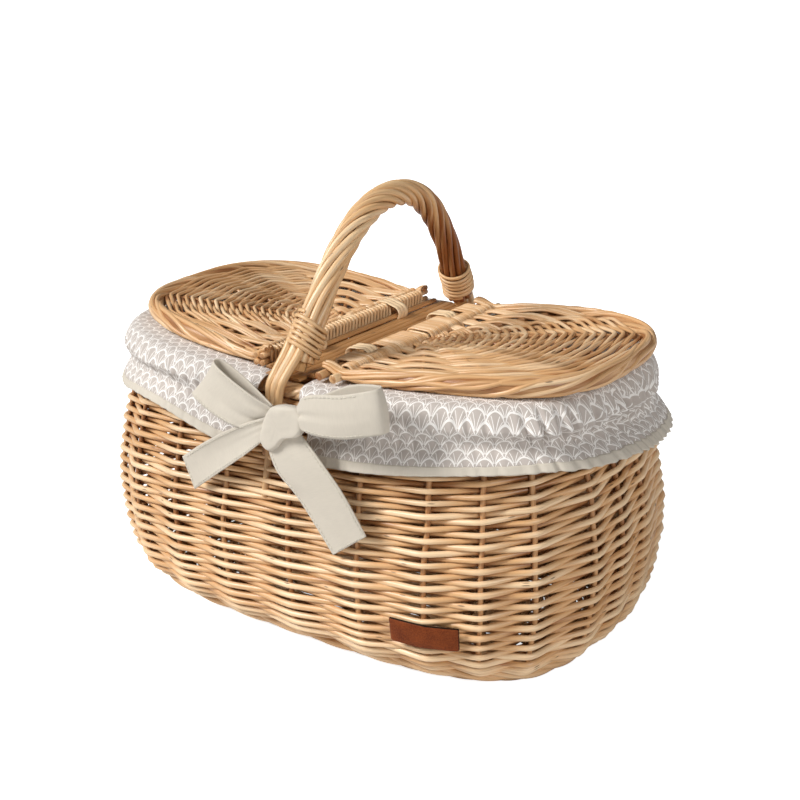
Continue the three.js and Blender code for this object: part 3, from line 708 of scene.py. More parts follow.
@dataclass(frozen=True)
class LeatherFinish:
    """Smooth brown leather with a fine pebbled grain and darker pores."""

    name: str
    light: str
    dark: str
    edge: str

    def material(self) -> bpy.types.Material:
        """Material of the patch."""
        material, desk, shader = new_material(self.name)
        place = desk.add("ShaderNodeTexCoord").outputs["Object"]
        cells = desk.add("ShaderNodeTexVoronoi", {"Vector": place, "Scale": 900.0}).outputs[0]
        cloud = desk.noise(place, 70.0, 4.0)
        tone = desk.math("MULTIPLY_ADD", cells, 0.35, desk.math("MULTIPLY", cloud, 0.75))
        colour = desk.mix(desk.ramp(tone, 0.25, 0.75), srgb(self.dark), srgb(self.light))
        desk.feed(shader, {
            "Base Color": desk.mix(desk.tone(), srgb(self.edge), colour),
            "Roughness": desk.math("MULTIPLY_ADD", cloud, 0.25, 0.45), "Specular IOR Level": 0.12,
            "Normal": desk.bump(cells, 0.4, 0.0004),
        })
        return material


@dataclass
class Finishes:
    """All materials of the basket, made once."""

    willow: bpy.types.Material = field(init=False)
    dark: bpy.types.Material = field(init=False)
    core: bpy.types.Material = field(init=False)
    pale: bpy.types.Material = field(init=False)
    print_cloth: bpy.types.Material = field(init=False)
    sage: bpy.types.Material = field(init=False)
    thread: bpy.types.Material = field(init=False)
    leather: bpy.types.Material = field(init=False)

    def __post_init__(self) -> None:
        """Makes the shared groups and each material."""
        skin, weave = willow_skin_group(), cloth_weave_group()
        self.willow = WillowFinish("willow", "efcfa6", "d6a876", "9a653a").material(skin)
        self.dark = WillowFinish("willow dark", "cb9a66", "ab7a48", "7a4f2b").material(skin)
        self.core = WillowFinish("willow core", "e6c497", "d9b080", "cda06c").material(skin)
        self.pale = WillowFinish("willow pale", "f1d5ad", "dfb583", "8c5226").material(skin)
        self.print_cloth = ClothFinish("print cloth", "beb4ac", "f5f1ec").material(weave)
        self.sage = ClothFinish("sage cloth", "cec5b6").material(weave)
        self.thread = ClothFinish("thread", "d6cfc0").material(weave)
        self.leather = LeatherFinish("leather", "82401d", "5c270f", "160c07").material()


# The woven body


@dataclass
class WallShape:
    """Outline of the wall over the rim's oval, walked up its height."""

    rim: Oval
    foot_inset: float = 19.0
    upsett: tuple[float, float] = (12.0, 26.0)
    bulge: tuple[float, float] = (23.0, 88.0)
    shoulder: float = 16.0
    samples: int = 2000

    @cached_property
    def line(self) -> tuple[Array, Array]:
        """Walked lengths and points of the outline as offset and height."""
        top = node_box("wall_weave")[1][2]
        upper = (self.shoulder, (self.bulge[1] + top) / 2)
        points = [(-self.foot_inset, 0.3), self.upsett, self.bulge, upper, (0.0, top)]
        path = spline(points, np.linspace(0, 1, self.samples))
        return lengths(path), path

    @property
    def length(self) -> float:
        """Length of the outline from the foot to the top."""
        return float(self.line[0][-1])

    def at_height(self, z: float) -> float:
        """Length walked up the outline at a height."""
        return float(np.interp(z, self.line[1][:, 1], self.line[0]))

    def offset(self, z: Array | float) -> Array | float:
        """Offset of the outline from the rim at heights."""
        return np.interp(z, self.line[1][:, 1], self.line[1][:, 0])

    def slope(self, level: Array) -> Array:
        """Outward normal of the outline at walked lengths, as offset and height parts."""
        walked, path = self.line
        along = unit(np.gradient(path, axis=0))
        return np.stack([np.interp(level, walked, along[:, 1]), -np.interp(level, walked, along[:, 0])], -1)

    def place(self, s: Array, level: Array, depth: Array | float) -> Array:
        """Points of the wall.

        Args:
            s: Lengths round the rim.
            level: Lengths up the outline.
            depth: Distance out of the outline.

        Returns:
            Points with a last axis of three.
        """
        walked, path = self.line
        out = self.slope(level)
        offset = np.interp(level, walked, path[:, 0]) + out[..., 0] * depth
        height = np.interp(level, walked, path[:, 1]) + out[..., 1] * depth
        return self.rim.at(s, offset, height)

    def normal(self, s: Array, level: Array) -> Array:
        """Outward normal of the wall."""
        out = self.slope(level)
        return self.rim.normal(s) * out[..., :1] + UP * out[..., 1:]


@dataclass
class WovenBody:
    """Base, bottom wale, stakes, French randing and top border."""

    wall: WallShape
    finishes: Finishes
    gaps_right: tuple[float, ...] = (60.5, 51.5, 37.0, 32.6, 44.0, 35.0)
    gaps_left: tuple[float, ...] = (51.5, 51.0, 38.0, 36.0, 38.0, 35.0)
    middle_gap: float = 62.0
    middle_place: float = -18.0
    stakes: int = 26
    stake_radius: float = 2.1
    rod_radius: float = 2.3
    rod_pitch: float = 4.5
    swing: float = 3.8
    back_closing: float = 0.4
    back_reach: float = 60.0
    # strength of the painted shade on the rods' stretches behind the stakes
    shade: float = 0.8
    samples: int = 8
    wale_radius: float = 3.3
    wale_swing: float = 2.5
    wale_lift: float = 2.1
    wale_depth: float = 2.6
    wale_strokes: int = 9
    wale_samples: int = 432
    randing_start: float = 19.0
    randing_end: float = 4.0
    base_level: float = 5.6
    base_swing: float = 2.2
    base_radius: float = 2.4
    base_stick: float = 2.6
    base_spine: float = 70.0
    base_pitch: float = 4.3
    border_rods: int = 6
    border_twists: int = 22
    border_lay: tuple[float, float] = (4.2, 3.4)
    border_radius: float = 2.75
    border_inset: float = 7.0

    @cached_property
    def stake_places(self) -> Array:
        """Lengths round the rim of the stakes and the first one again, with wide gaps at front and back."""
        halves = [[*gaps, *gaps[::-1], self.middle_gap] for gaps in (self.gaps_right, self.gaps_left)]
        gaps = np.concatenate(halves)
        gaps = gaps * self.wall.rim.length / gaps.sum()
        return self.middle_place + gaps[-1] / 2 + np.concatenate([[0.0], np.cumsum(gaps)])

    def stake_place(self, index: Array) -> Array:
        """Length round the rim at a stake number, straight between stakes, with whole turns added."""
        turn, part = np.divmod(index, self.stakes)
        return turn * self.wall.rim.length + np.interp(part, np.arange(self.stakes + 1), self.stake_places)

    @property
    def middle_depth(self) -> float:
        """Depth of the stakes' middle line below the wall's outer face."""
        return -(self.swing + self.rod_radius)

    def backness(self, points: Array) -> Array:
        """How far points lie towards the back, from 0 at the middle to 1."""
        return np.clip(points[..., 1] / self.back_reach, 0, 1)

    def build(self) -> None:
        """Builds every piece of the body."""
        self.build_wall()
        self.build_wale()
        self.build_base()
        self.build_border()

    def build_wall(self) -> None:
        """Stakes, French randing and a row of wale under the border.

        Rod r passes stake r + q at level start + q * pitch, in front for odd q and behind for even q. It
        runs straight from stake to stake, and a running mean of three points rounds it at the stakes.
        Towards the back the rods are thicker and closer. The parts behind the stakes are darkened as painted
        shade.
        """
        piece = PieceMesh("woven_wall")
        rng = piece.rng
        climb = self.wall.length - self.randing_start - self.randing_end
        crossings = int(climb / self.rod_pitch) // 2 * 2
        q = np.arange(crossings + 1)
        s = self.stake_place(np.arange(self.stakes)[:, None] + q)
        level = self.randing_start + self.rod_pitch * q + 0.5 * ripple(s, 170.0, rng)
        swing = self.swing * (1 - self.back_closing * self.backness(self.wall.rim.at(s, 0.0)))
        depth = self.middle_depth - swing * (-1.0) ** q + 0.35 * ripple(s, 60.0, rng)
        marks = np.concatenate([self.wall.place(s, level, depth), self.wall.normal(s, level)], -1)
        at = np.linspace(0, crossings, crossings * self.samples + 1)
        run = softened(between(marks, at))
        thick = self.rod_radius * rng.uniform(0.9, 1.08, (self.stakes, 1)) * np.linspace(1.06, 0.94, len(at))
        thick = thick * (1 + self.back_closing * self.backness(run))
        # Painted shade: the stretches of each rod behind the stakes get a lower tone, so the gaps between the
        # rods read darker.
        behind = between(np.clip(1.3 * (self.middle_depth - depth) / self.swing, 0, 1), at)
        tone = np.clip(rng.normal(0.84, 0.14, (self.stakes, 1)) - self.shade * behind, 0, 1)
        piece.add_tubes(run[..., :3], run[..., 3:], thick, sides=7, tone=tone)
        self.add_wale(piece, self.wall.length - 3.0, 2.4, 0.3)
        level = np.broadcast_to(np.linspace(2.0, self.wall.length - 1.0, 48), (self.stakes, 48))
        s_stake = self.stake_place(np.arange(self.stakes))[:, None] + 0.8 * ripple(level, 150.0, rng)
        paths = self.wall.place(s_stake, level, self.middle_depth)
        # The stakes' low tone is partly their own colour and partly painted shade that darkens the gaps
        # between the rods.
        tone = rng.uniform(0.0, 0.3, self.stakes)
        piece.add_tubes(paths, self.wall.normal(s_stake, level), self.stake_radius, tone=tone)
        piece.build(self.finishes.willow, Body.BASKET, Slot.WILLOW, "wall_weave")

    def add_wale(self, piece: PieceMesh, level: float, radius: float, shift: float) -> None:
        """A row of three-rod wale: each rod lies in front of two stakes and behind the third.

        Depth swings as 1/3 - 4/3 cos of the rod's phase, and a sine of it lifts the strokes over each other.

        Args:
            piece: Mesh that gets the row.
            level: Length up the wall's outline.
            radius: Radius of the rods.
            shift: Turn of the phase, in thirds.
        """
        round_rim = np.linspace(0, self.wall.rim.length, self.wale_samples, endpoint=False)
        s = np.broadcast_to(round_rim, (3, self.wale_samples))
        phase = TURN * (self.wale_strokes * s / self.wall.rim.length - (np.arange(3)[:, None] + shift) / 3)
        depth = -self.wale_depth - radius + self.wale_swing * (1 / 3 - 4 / 3 * np.cos(phase))
        height = level + self.wale_lift * np.sin(phase) + 0.3 * ripple(s, 200.0, piece.rng)
        height = np.minimum(height, self.wall.length)
        tone = piece.rng.uniform(0.35, 0.75, 3)
        paths = self.wall.place(s, height, depth)
        piece.add_tubes(paths, self.wall.normal(s, height), radius, closed=True, tone=tone)

    def build_wale(self) -> None:
        """Two rows of wale round the foot."""
        piece = PieceMesh("twisted_wale")
        self.add_wale(piece, 5.0, self.wale_radius, 0.0)
        self.add_wale(piece, 12.6, self.wale_radius * 0.94, 0.4)
        piece.build(self.finishes.willow, Body.BASKET, Slot.WILLOW, "bottom_wale")

    def from_spine(self, s: Array, share: Array) -> Array:
        """Points at shares of the way from the base's middle spine out to lengths s of the rim."""
        outer = self.wall.rim.at(s, 0.0)
        inner = np.clip(outer[..., :1], -self.base_spine, self.base_spine) * ACROSS
        return inner + (outer - inner) * share

    def build_base(self) -> None:
        """Base of ovals woven over and under sticks that run in from the stakes to a middle spine."""
        piece = PieceMesh("woven_base")
        rng = piece.rng
        edge = self.wall.rim.half_width * 0.9
        rings = np.arange(16.0, edge, self.base_pitch)[:, None]
        q = np.linspace(0, self.stakes, self.stakes * 6, endpoint=False)
        over = np.cos(math.pi * (q + np.arange(len(rings))[:, None]))
        shrink = 1 - rings / edge
        paths = self.from_spine(self.stake_place(q), 0.03 + 0.97 * shrink[..., None])
        paths = paths + UP * (self.base_level + self.base_swing * over)[..., None]
        piece.add_tubes(paths, UP, self.base_radius, closed=True, tone=rng.uniform(0.2, 0.7, len(rings)))
        places = self.stake_place(np.arange(self.stakes))[:, None]
        sticks = self.from_spine(places, np.linspace(0.02, 0.86, 14)[:, None]) + UP * self.base_level
        piece.add_tubes(sticks, UP, self.base_stick, tone=rng.uniform(0.1, 0.5, self.stakes))
        along = np.linspace(-self.base_spine - 25, self.base_spine + 25, 24)
        bars = np.stack(np.broadcast_arrays(along, np.array([[-5.0], [0.0], [5.0]]), self.base_level), -1)
        piece.add_tubes(bars, UP, self.base_stick, tone=rng.uniform(0.1, 0.5, 3))
        piece.build(self.finishes.willow, Body.BASKET, Slot.WILLOW, "base_weave")

    def build_border(self) -> None:
        """Rolled border: rods twisted round the rim's top, each a helix about the border's middle line."""
        piece = PieceMesh("rolled_border")
        low, high = node_box("top_border")
        s = np.linspace(0, self.wall.rim.length, 640, endpoint=False)
        start = np.arange(self.border_rods)[:, None] / self.border_rods
        phase = TURN * (self.border_twists * s / self.wall.rim.length + start)
        middle = high[1] - self.wall.rim.half_width - self.border_inset
        offset = middle + self.border_lay[0] * np.cos(phase)
        height = (low[2] + high[2]) / 2 + self.border_lay[1] * np.sin(phase)
        paths = self.wall.rim.at(np.broadcast_to(s, phase.shape), offset, height)
        tone = piece.rng.uniform(0.3, 0.8, self.border_rods)
        piece.add_tubes(paths, UP, self.border_radius, closed=True, tone=tone)
        piece.build(self.finishes.willow, Body.BASKET, Slot.WILLOW, "top_border")


# The cloth valance


@dataclass
class Valance:
    """Gathered rim cover in two halves, each a sheet with a bound hem."""

    wall: WallShape
    finishes: Finishes
    thickness: float = 0.8
    skirt_drop: float = 50.0
    gather_drop: float = 25.0
    turn_in: float = 20.0
    puff: float = 7.6
    flare: float = 3.0
    end_flare: float = 15.0
    hem: float = 7.4
    slit: float = 18.0
    slit_spread: float = 15.0
    bunch_place: float = 268.0
    bunch_spread: float = 74.0
    tuck_place: float = 196.0
    pleat: float = 11.0
    lift_start: float = 44.0
    lift: tuple[float, float] = (5.8, 7.8)
    gather_share: float = 0.6
    border_foot: float = 199.0
    border_face: float = 2.0
    clear: float = 1.3
    swell_rise: float = 14.0
    swell_spread: float = 8.0
    elastic_spread: float = 7.0
    tuck_spread: float = 10.0
    tuck_swell: float = 3.2
    crest_depth: float = 9.0
    gather_depths: tuple[float, float, float] = (0.2, 0.8, 0.6)
    pleat_depths: tuple[float, float, float] = (2.8, 3.4, 3.0)
    binding: float = 1.4
    line_samples: int = 800
    drawn_up: tuple = (
        ((52, 69, 86, 103, 120, 137, 154, 171, 205), (0, 3, 6.5, 10, 12.4, 13, 12.4, 10, 8)),
        ((18, 60, 109, 157, 190, 222, 255, 287, 335), (0, 2.4, 7.7, 13, 16.5, 14.6, 13, 9.5, 6)),
    )
    columns: int = 440
    rows: int = 52

    def line(self) -> list[tuple[float, float]]:
        """Cloth line from the hem over the border to the turned-in edge, as offset and height."""
        high = node_box("top_border")[1]
        top, face = high[2], high[1] - self.wall.rim.half_width
        hem, gather = top - self.skirt_drop, top - self.gather_drop
        low, waist = self.wall.offset(hem), self.wall.offset(gather)
        inside = face - 25.0
        middle = (hem + gather) / 2
        return [
            (low + 3.2, hem), (self.wall.offset(middle) + 3.4, middle),
            (waist + 3.2, gather - 6.0), (waist + 2.2, gather), (waist + 3.8, gather + 5.0),
            (face + self.puff, gather + self.swell_rise), (face + 4.6, top - 3.6), (face - 0.5, top + 0.2),
            (face - 7.0, top + 1.5), (inside - 2.0, top + 1.9), (inside - 8.0, top - 1.5),
            (inside - 9.0, top - 8.0), (inside - 5.0, top - self.turn_in),
        ]

    def folds(self, side: int, lane: Array, zones: tuple[Array, ...], rng: np.random.Generator) -> Array:
        """How far the cloth stands out in ripples and pleats, at the bunched end and at the tuck.

        Args:
            side: 1 for the right half, -1 for the left.
            lane: Lengths along the rim.
            zones: How far each row belongs below, above and at the elastic.
            rng: Seeded generator for the phases.

        Returns:
            Distances outwards, as rows by columns.
        """
        below, above, near = zones
        bunch = (side > 0) * hump(lane - self.bunch_place, self.bunch_spread)
        tuck = (side > 0) * hump(lane - self.tuck_place, self.tuck_spread)
        everywhere, bunched, tucked = self.gather_depths
        gathers = everywhere + bunched * bunch + tucked * tuck
        pleat = np.sin(TURN * lane / self.pleat + 1.4 * ripple(lane, 70.0, rng, 2))
        pleat = pleat + 0.5 * np.sin(TURN * lane / (0.62 * self.pleat) + 2.0 * ripple(lane, 50.0, rng, 2))
        fold = 1.4 * below * ripple(lane, 150.0, rng, 2) + 1.5 * above * ripple(lane, 110.0, rng, 3)
        at_elastic, over_it, under_it = self.pleat_depths
        depth = at_elastic * near + over_it * above + under_it * below * (1 - 0.6 * below)
        fold = fold + gathers * (pleat + 0.6) * depth
        return fold + (self.flare + self.end_flare * bunch) * below + self.tuck_swell * above * tuck

    def surface(self, side: int, rise: Array) -> tuple[Array, Array]:
        """Cloth of one half: the cloth line swept along the rim, with folds and a hem that is drawn up.

        Slow ripples along the rim grow towards the hem, and pleats are strongest at the elastic and round
        the right end. Outside, the cloth keeps clear of the wall and the border. The crest rises towards
        the ends, where the lids lie on it.

        Args:
            side: 1 for the right half, -1 for the left.
            rise: Lengths up the cloth line for the rows.

        Returns:
            Grid of points and their cloth coordinates in metres.
        """
        rng = np.random.default_rng(40 + side)
        path = spline(self.line(), np.linspace(0, 1, self.line_samples))
        offset, height = sample(rise, lengths(path), path).T[..., None]
        top = node_box("top_border")[1][2]
        hem, gather = top - self.skirt_drop, top - self.gather_drop
        share = np.linspace(0, 1, self.columns)[None]
        outside = (offset > -6).astype(float)
        spread = np.clip((top - height) / self.skirt_drop, 0, 1) * outside
        spread = spread * (self.slit_spread if side > 0 else 0.0)
        start, end = self.slit + spread, self.wall.rim.length / 2 - self.slit
        along, lane = start + (end - start) * share, self.slit + (end - self.slit) * share
        below = np.clip((gather - height) / (gather - hem), 0, 1) * outside
        above = hump(height - gather - self.swell_rise, self.swell_spread) * outside
        near = hump(height - gather, self.elastic_spread) * outside
        drawn = np.interp(height, [hem, gather, top - 2.0], [1.0, self.gather_share, 0.0]) * outside
        drawn = drawn * np.interp(lane, *self.drawn_up[side > 0])
        level = height + drawn
        offset = offset + self.wall.offset(level) - self.wall.offset(height)
        offset = offset + self.folds(side, lane, (below, above, near), rng)
        sway = 0.7 * below * ripple(lane, 170.0, rng, 2)
        bare = np.where(level > self.border_foot, self.border_face, self.wall.offset(level)) + self.clear
        offset = np.where(outside * (height < top - 3.0) > 0, np.maximum(offset, bare), offset)
        points = self.wall.rim.at(side * along, offset, level + sway)
        far = (np.abs(points[..., 0]) - self.lift_start) / (self.wall.rim.half_length - self.lift_start)
        far = np.clip(far, 0, 1)
        crest = np.clip((height - top) / self.crest_depth + 1, 0, 1)
        points[..., 2] += self.lift[side > 0] * np.sin(math.pi / 2 * far) * crest
        steps = np.hypot(np.diff(offset, axis=0), np.diff(level, axis=0))
        climb = rise[0] + np.concatenate([0 * lane, np.cumsum(steps, axis=0)])
        return points, np.stack([side * along, climb], -1) * MM

    def build(self) -> None:
        """Builds both halves with their hems."""
        whole = lengths(spline(self.line(), np.linspace(0, 1, self.line_samples)))[-1]
        for label, side in (("left", -1), ("right", 1)):
            cloth = PieceMesh(f"valance_cloth_{label}")
            grid, uv = self.surface(side, np.linspace(self.hem - 0.8, whole, self.rows))
            cloth.add_grid(grid, uv, turned=side < 0)
            sheet = cloth.build(self.finishes.print_cloth, Body.BASKET, Slot.PRINT_CLOTH, f"valance_{label}")
            thicken(sheet, self.thickness)
            hem = PieceMesh(f"hem_binding_{label}")
            grid_hem, uv_hem = self.surface(side, np.linspace(0.0, self.hem, 7))
            hem.add_grid(grid_hem, uv_hem, turned=side < 0)
            band = hem.build(self.finishes.sage, Body.BASKET, Slot.SAGE_CLOTH, f"hem_band_{label}")
            thicken(band, self.binding)


# The bridge, handle and hinges


@dataclass
class Bridge:
    """Two bundled rods across the rim with flat slats laid between them."""

    finishes: Finishes
    slats: int = 5
    thin_rods: int = 5
    shortfall: float = 7.0
    overlap: float = 2.8
    thin_share: float = 0.28
    band_share: float = 0.5
    thin_rises: tuple[float, ...] = (0.8, 1.3, 0.9, 1.4, 0.8)
    slat_share: float = 1.2

    def build(self) -> None:
        """Each rod is a flat bundle of thin ones resting on the slats, which are flattened tubes."""
        rods = PieceMesh("bridge_rods")
        for node in ("bridge_rod_left", "bridge_rod_right"):
            low, high = node_box(node)
            middle, radius = (low + high) / 2, (high[2] - low[2]) / 2
            y = np.linspace(low[1] + self.shortfall, high[1] - self.shortfall, 60)
            thin = radius * self.thin_share
            x = middle[0] + self.band_share * (radius - thin) * np.linspace(-1, 1, self.thin_rods)[:, None]
            x = x + 0.15 * ripple(np.broadcast_to(y, (self.thin_rods, len(y))), 130.0, rods.rng)
            level = node_box("bridge_lath")[1][2] + thin * np.array(self.thin_rises)[:, None]
            paths = np.stack(np.broadcast_arrays(x, y, level), -1)
            rods.add_tubes(paths, UP, thin, sides=10, tone=rods.rng.uniform(0.4, 0.9, self.thin_rods))
        rods.build(self.finishes.dark, Body.BASKET, Slot.WILLOW_DARK, "bridge_rod_left", "bridge_rod_right")
        low, high = node_box("bridge_lath")
        low[0], high[0] = low[0] - 2 * self.overlap, high[0] + self.overlap
        width = (high[0] - low[0]) / self.slats
        slats = PieceMesh("bridge_slats")
        y = np.linspace(low[1], high[1], 40)
        x = low[0] + width * (np.arange(self.slats)[:, None] + 0.5) + 0 * y
        x = x + 0.3 * ripple(np.broadcast_to(y, x.shape), 160.0, slats.rng)
        half = (high[2] - low[2]) / 2
        paths = np.stack(np.broadcast_arrays(x, y, (low[2] + high[2]) / 2), -1)
        tone = slats.rng.uniform(0.3, 0.9, self.slats)
        slats.add_tubes(paths, UP, half, sides=10, tone=tone, flat=self.slat_share * width / 2 / half)
        slats.build(self.finishes.dark, Body.BASKET, Slot.WILLOW_DARK, "bridge_lath")


@dataclass
class Handle:
    """Roped bow: strands laid round a core, bound at both ends, with strands over the border."""

    wall: WallShape
    finishes: Finishes
    collar_place: float = 103.0
    collar_level: float = 243.0
    power: float = 2.3
    core_radius: float = 6.0
    rope_foot: float = 231.0
    lean: float = 7.0
    strands: int = 9
    lay_radius: float = 7.8
    strand_radius: float = 2.6
    turns: float = 1.8
    quickening: float = 0.7
    binding_radius: float = 12.6
    skein: float = 1.25
    pitch: float = 3.9
    loops: float = 6.6
    binding_slant: tuple[float, float] = (-4.6, 1.5)
    strand_slant: float = -15.0
    strand_draw: float = 3.6
    strand_top: float = 256.0
    strand_tones: tuple[float, ...] = (0.45, 0.7, 0.55)

    @cached_property
    def apex(self) -> float:
        """Height of the bow's middle line at its top."""
        return float(node_box("handle_core")[1][2] - self.core_radius)

    def place_at(self, z: float) -> float:
        """Distance of the bow's middle line from the middle of the basket at a height."""
        drop = (self.apex - z) / (self.apex - self.collar_level)
        return self.collar_place * drop ** (1 / self.power)

    def bow(self, foot: float, count: int) -> tuple[Array, Array, Array]:
        """Middle line of the bow between two feet: z falls from the apex by a power of |y|, x leans with z.

        Args:
            foot: Height of both ends.
            count: Number of evenly spaced points.

        Returns:
            Points, directions along the bow and directions towards its inside.
        """
        end = self.place_at(foot)
        y = end * np.sin(np.linspace(-math.pi / 2, math.pi / 2, 1500))
        z = self.apex - (self.apex - self.collar_level) * np.abs(y / self.collar_place) ** self.power
        bottom = node_box("bridge_lath")[1][2]
        foot_side = sum(node_box("handle_foot_front_2"))[0] / 2
        x = foot_side + self.lean * (z - bottom) / (self.apex - bottom)
        points = even(np.stack([x, y, z], -1), count)
        tangent = unit(np.gradient(points, axis=0))
        return points, tangent, np.cross(tangent, ACROSS)

    def build(self) -> None:
        """Builds the rope, the bindings and the feet, and dresses the core."""
        self.build_rope()
        for label, side in (("front", -1), ("back", 1)):
            self.build_binding(label, side)
            self.build_foot(label, side)
        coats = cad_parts["handle_core"].data.materials
        coats.clear()
        coats.append(self.finishes.core)

    def build_rope(self) -> None:
        """Strands as helices round the bow's middle line, which turn quicker over its top by a sine."""
        piece = PieceMesh("roped_handle")
        count = 150
        points, _, inside = self.bow(self.rope_foot - 4, count)
        share = np.linspace(0, 1, count)
        walk = np.broadcast_to(share * 400, (self.strands, count))
        twist = self.turns * (share - self.quickening * np.sin(TURN * share) / TURN)
        phase = TURN * (twist + np.arange(self.strands)[:, None] / self.strands)
        phase = phase + 0.06 * ripple(walk, 160.0, piece.rng)
        out = np.cos(phase)[..., None] * ACROSS + np.sin(phase)[..., None] * inside
        lay = self.lay_radius + 0.35 * ripple(walk, 120.0, piece.rng)
        paths = points + out * lay[..., None]
        thick = self.strand_radius * piece.rng.uniform(0.92, 1.06, (self.strands, 1))
        # Painted shade: the tone falls over the back half of the rope, towards the back leg, whose seen side
        # lies in shade.
        tone = piece.rng.uniform(0.4, 0.8, (self.strands, 1)) - 0.7 * np.clip((share - 0.5) / 0.3, 0, 1)
        piece.add_tubes(paths, out, thick, sides=10, tone=np.clip(tone, 0, 1))
        piece.build(self.finishes.pale, Body.BASKET, Slot.WILLOW_PALE, "handle_rope")

    def build_binding(self, label: str, side: int) -> None:
        """Skein wound round the rope's end: a helix that follows the bow, its two ends tucked in.

        Args:
            label: Front or back.
            side: -1 for the front, 1 for the back.
        """
        piece = PieceMesh(f"handle_skein_{label}")
        points, tangent, inside = self.bow(self.rope_foot, 1200)
        walked = lengths(points)
        turn = np.linspace(0, self.loops, int(self.loops * 30))
        rise = 1.5 + self.pitch * turn + 0.25 * np.sin(2.3 * turn)
        at = rise if side < 0 else walked[-1] - rise
        points, tangent, inside = (sample(at, walked, table) for table in (points, tangent, inside))
        angle = TURN * turn + 0.8
        out = np.cos(angle)[:, None] * ACROSS + np.sin(angle)[:, None] * inside
        tuck = 3.0 * (np.clip(1 - turn / 0.25, 0, 1) + np.clip(1 - (self.loops - turn) / 0.25, 0, 1))
        radius = self.binding_radius - tuck + 0.3 * np.sin(5.1 * turn)
        slant = self.binding_slant[side > 0] * np.cos(angle - 0.6)[:, None] * tangent
        path = points + out * radius[:, None] + slant
        piece.add_tubes(path, out, self.skein, sides=8, tone=0.55, flat=1.25)
        piece.build(self.finishes.pale, Body.BASKET, Slot.WILLOW_PALE, f"handle_binding_{label}")

    def build_foot(self, label: str, side: int) -> None:
        """Three strands from under the binding over the border, tucked into the weave beside the stakes.

        Args:
            label: Front or back.
            side: -1 for the front, 1 for the back.
        """
        piece = PieceMesh(f"handle_strands_{label}")
        nodes = [f"handle_foot_{label}_{k}" for k in (1, 2, 3)]
        _, face, top = node_box("top_border")[1]
        leg = lambda z, out: (self.place_at(z) + out, z)
        wall_at = lambda z, depth: (self.wall.rim.half_width + self.wall.offset(z) + depth, z)
        for k, node in enumerate(nodes):
            low, high = node_box(node)
            radius = (high[0] - low[0]) / 2
            x = (low[0] + high[0]) / 2
            route = [
                leg(self.strand_top, 8.0), leg(244.0, 8.6), leg(233.0, 10.0), (face - 2.0, top + 9.0),
                (face + radius + 0.9, top - 0.5), wall_at(top - 14, radius + 2.2),
                wall_at(top - 30, radius + 0.6), wall_at(top - 42, -3.5), wall_at(low[2], -6.5),
            ]
            path = even(spline([(x, side * y, z) for y, z in route], np.linspace(0, 1, 300)), 60)
            drop = np.clip((self.strand_top - path[:, 2]) / 80.0, 0, 1)
            path[:, 0] += 2.0 + (self.strand_slant - self.strand_draw * (k - 1)) * drop
            tone = self.strand_tones[k] * np.clip((path[None, :, 2] - 172.0) / 24.0, 0.45, 1)
            piece.add_tubes(path, ACROSS, radius, sides=10, tone=tone)
        piece.build(self.finishes.pale, Body.BASKET, Slot.WILLOW_PALE, *nodes)


# The lids


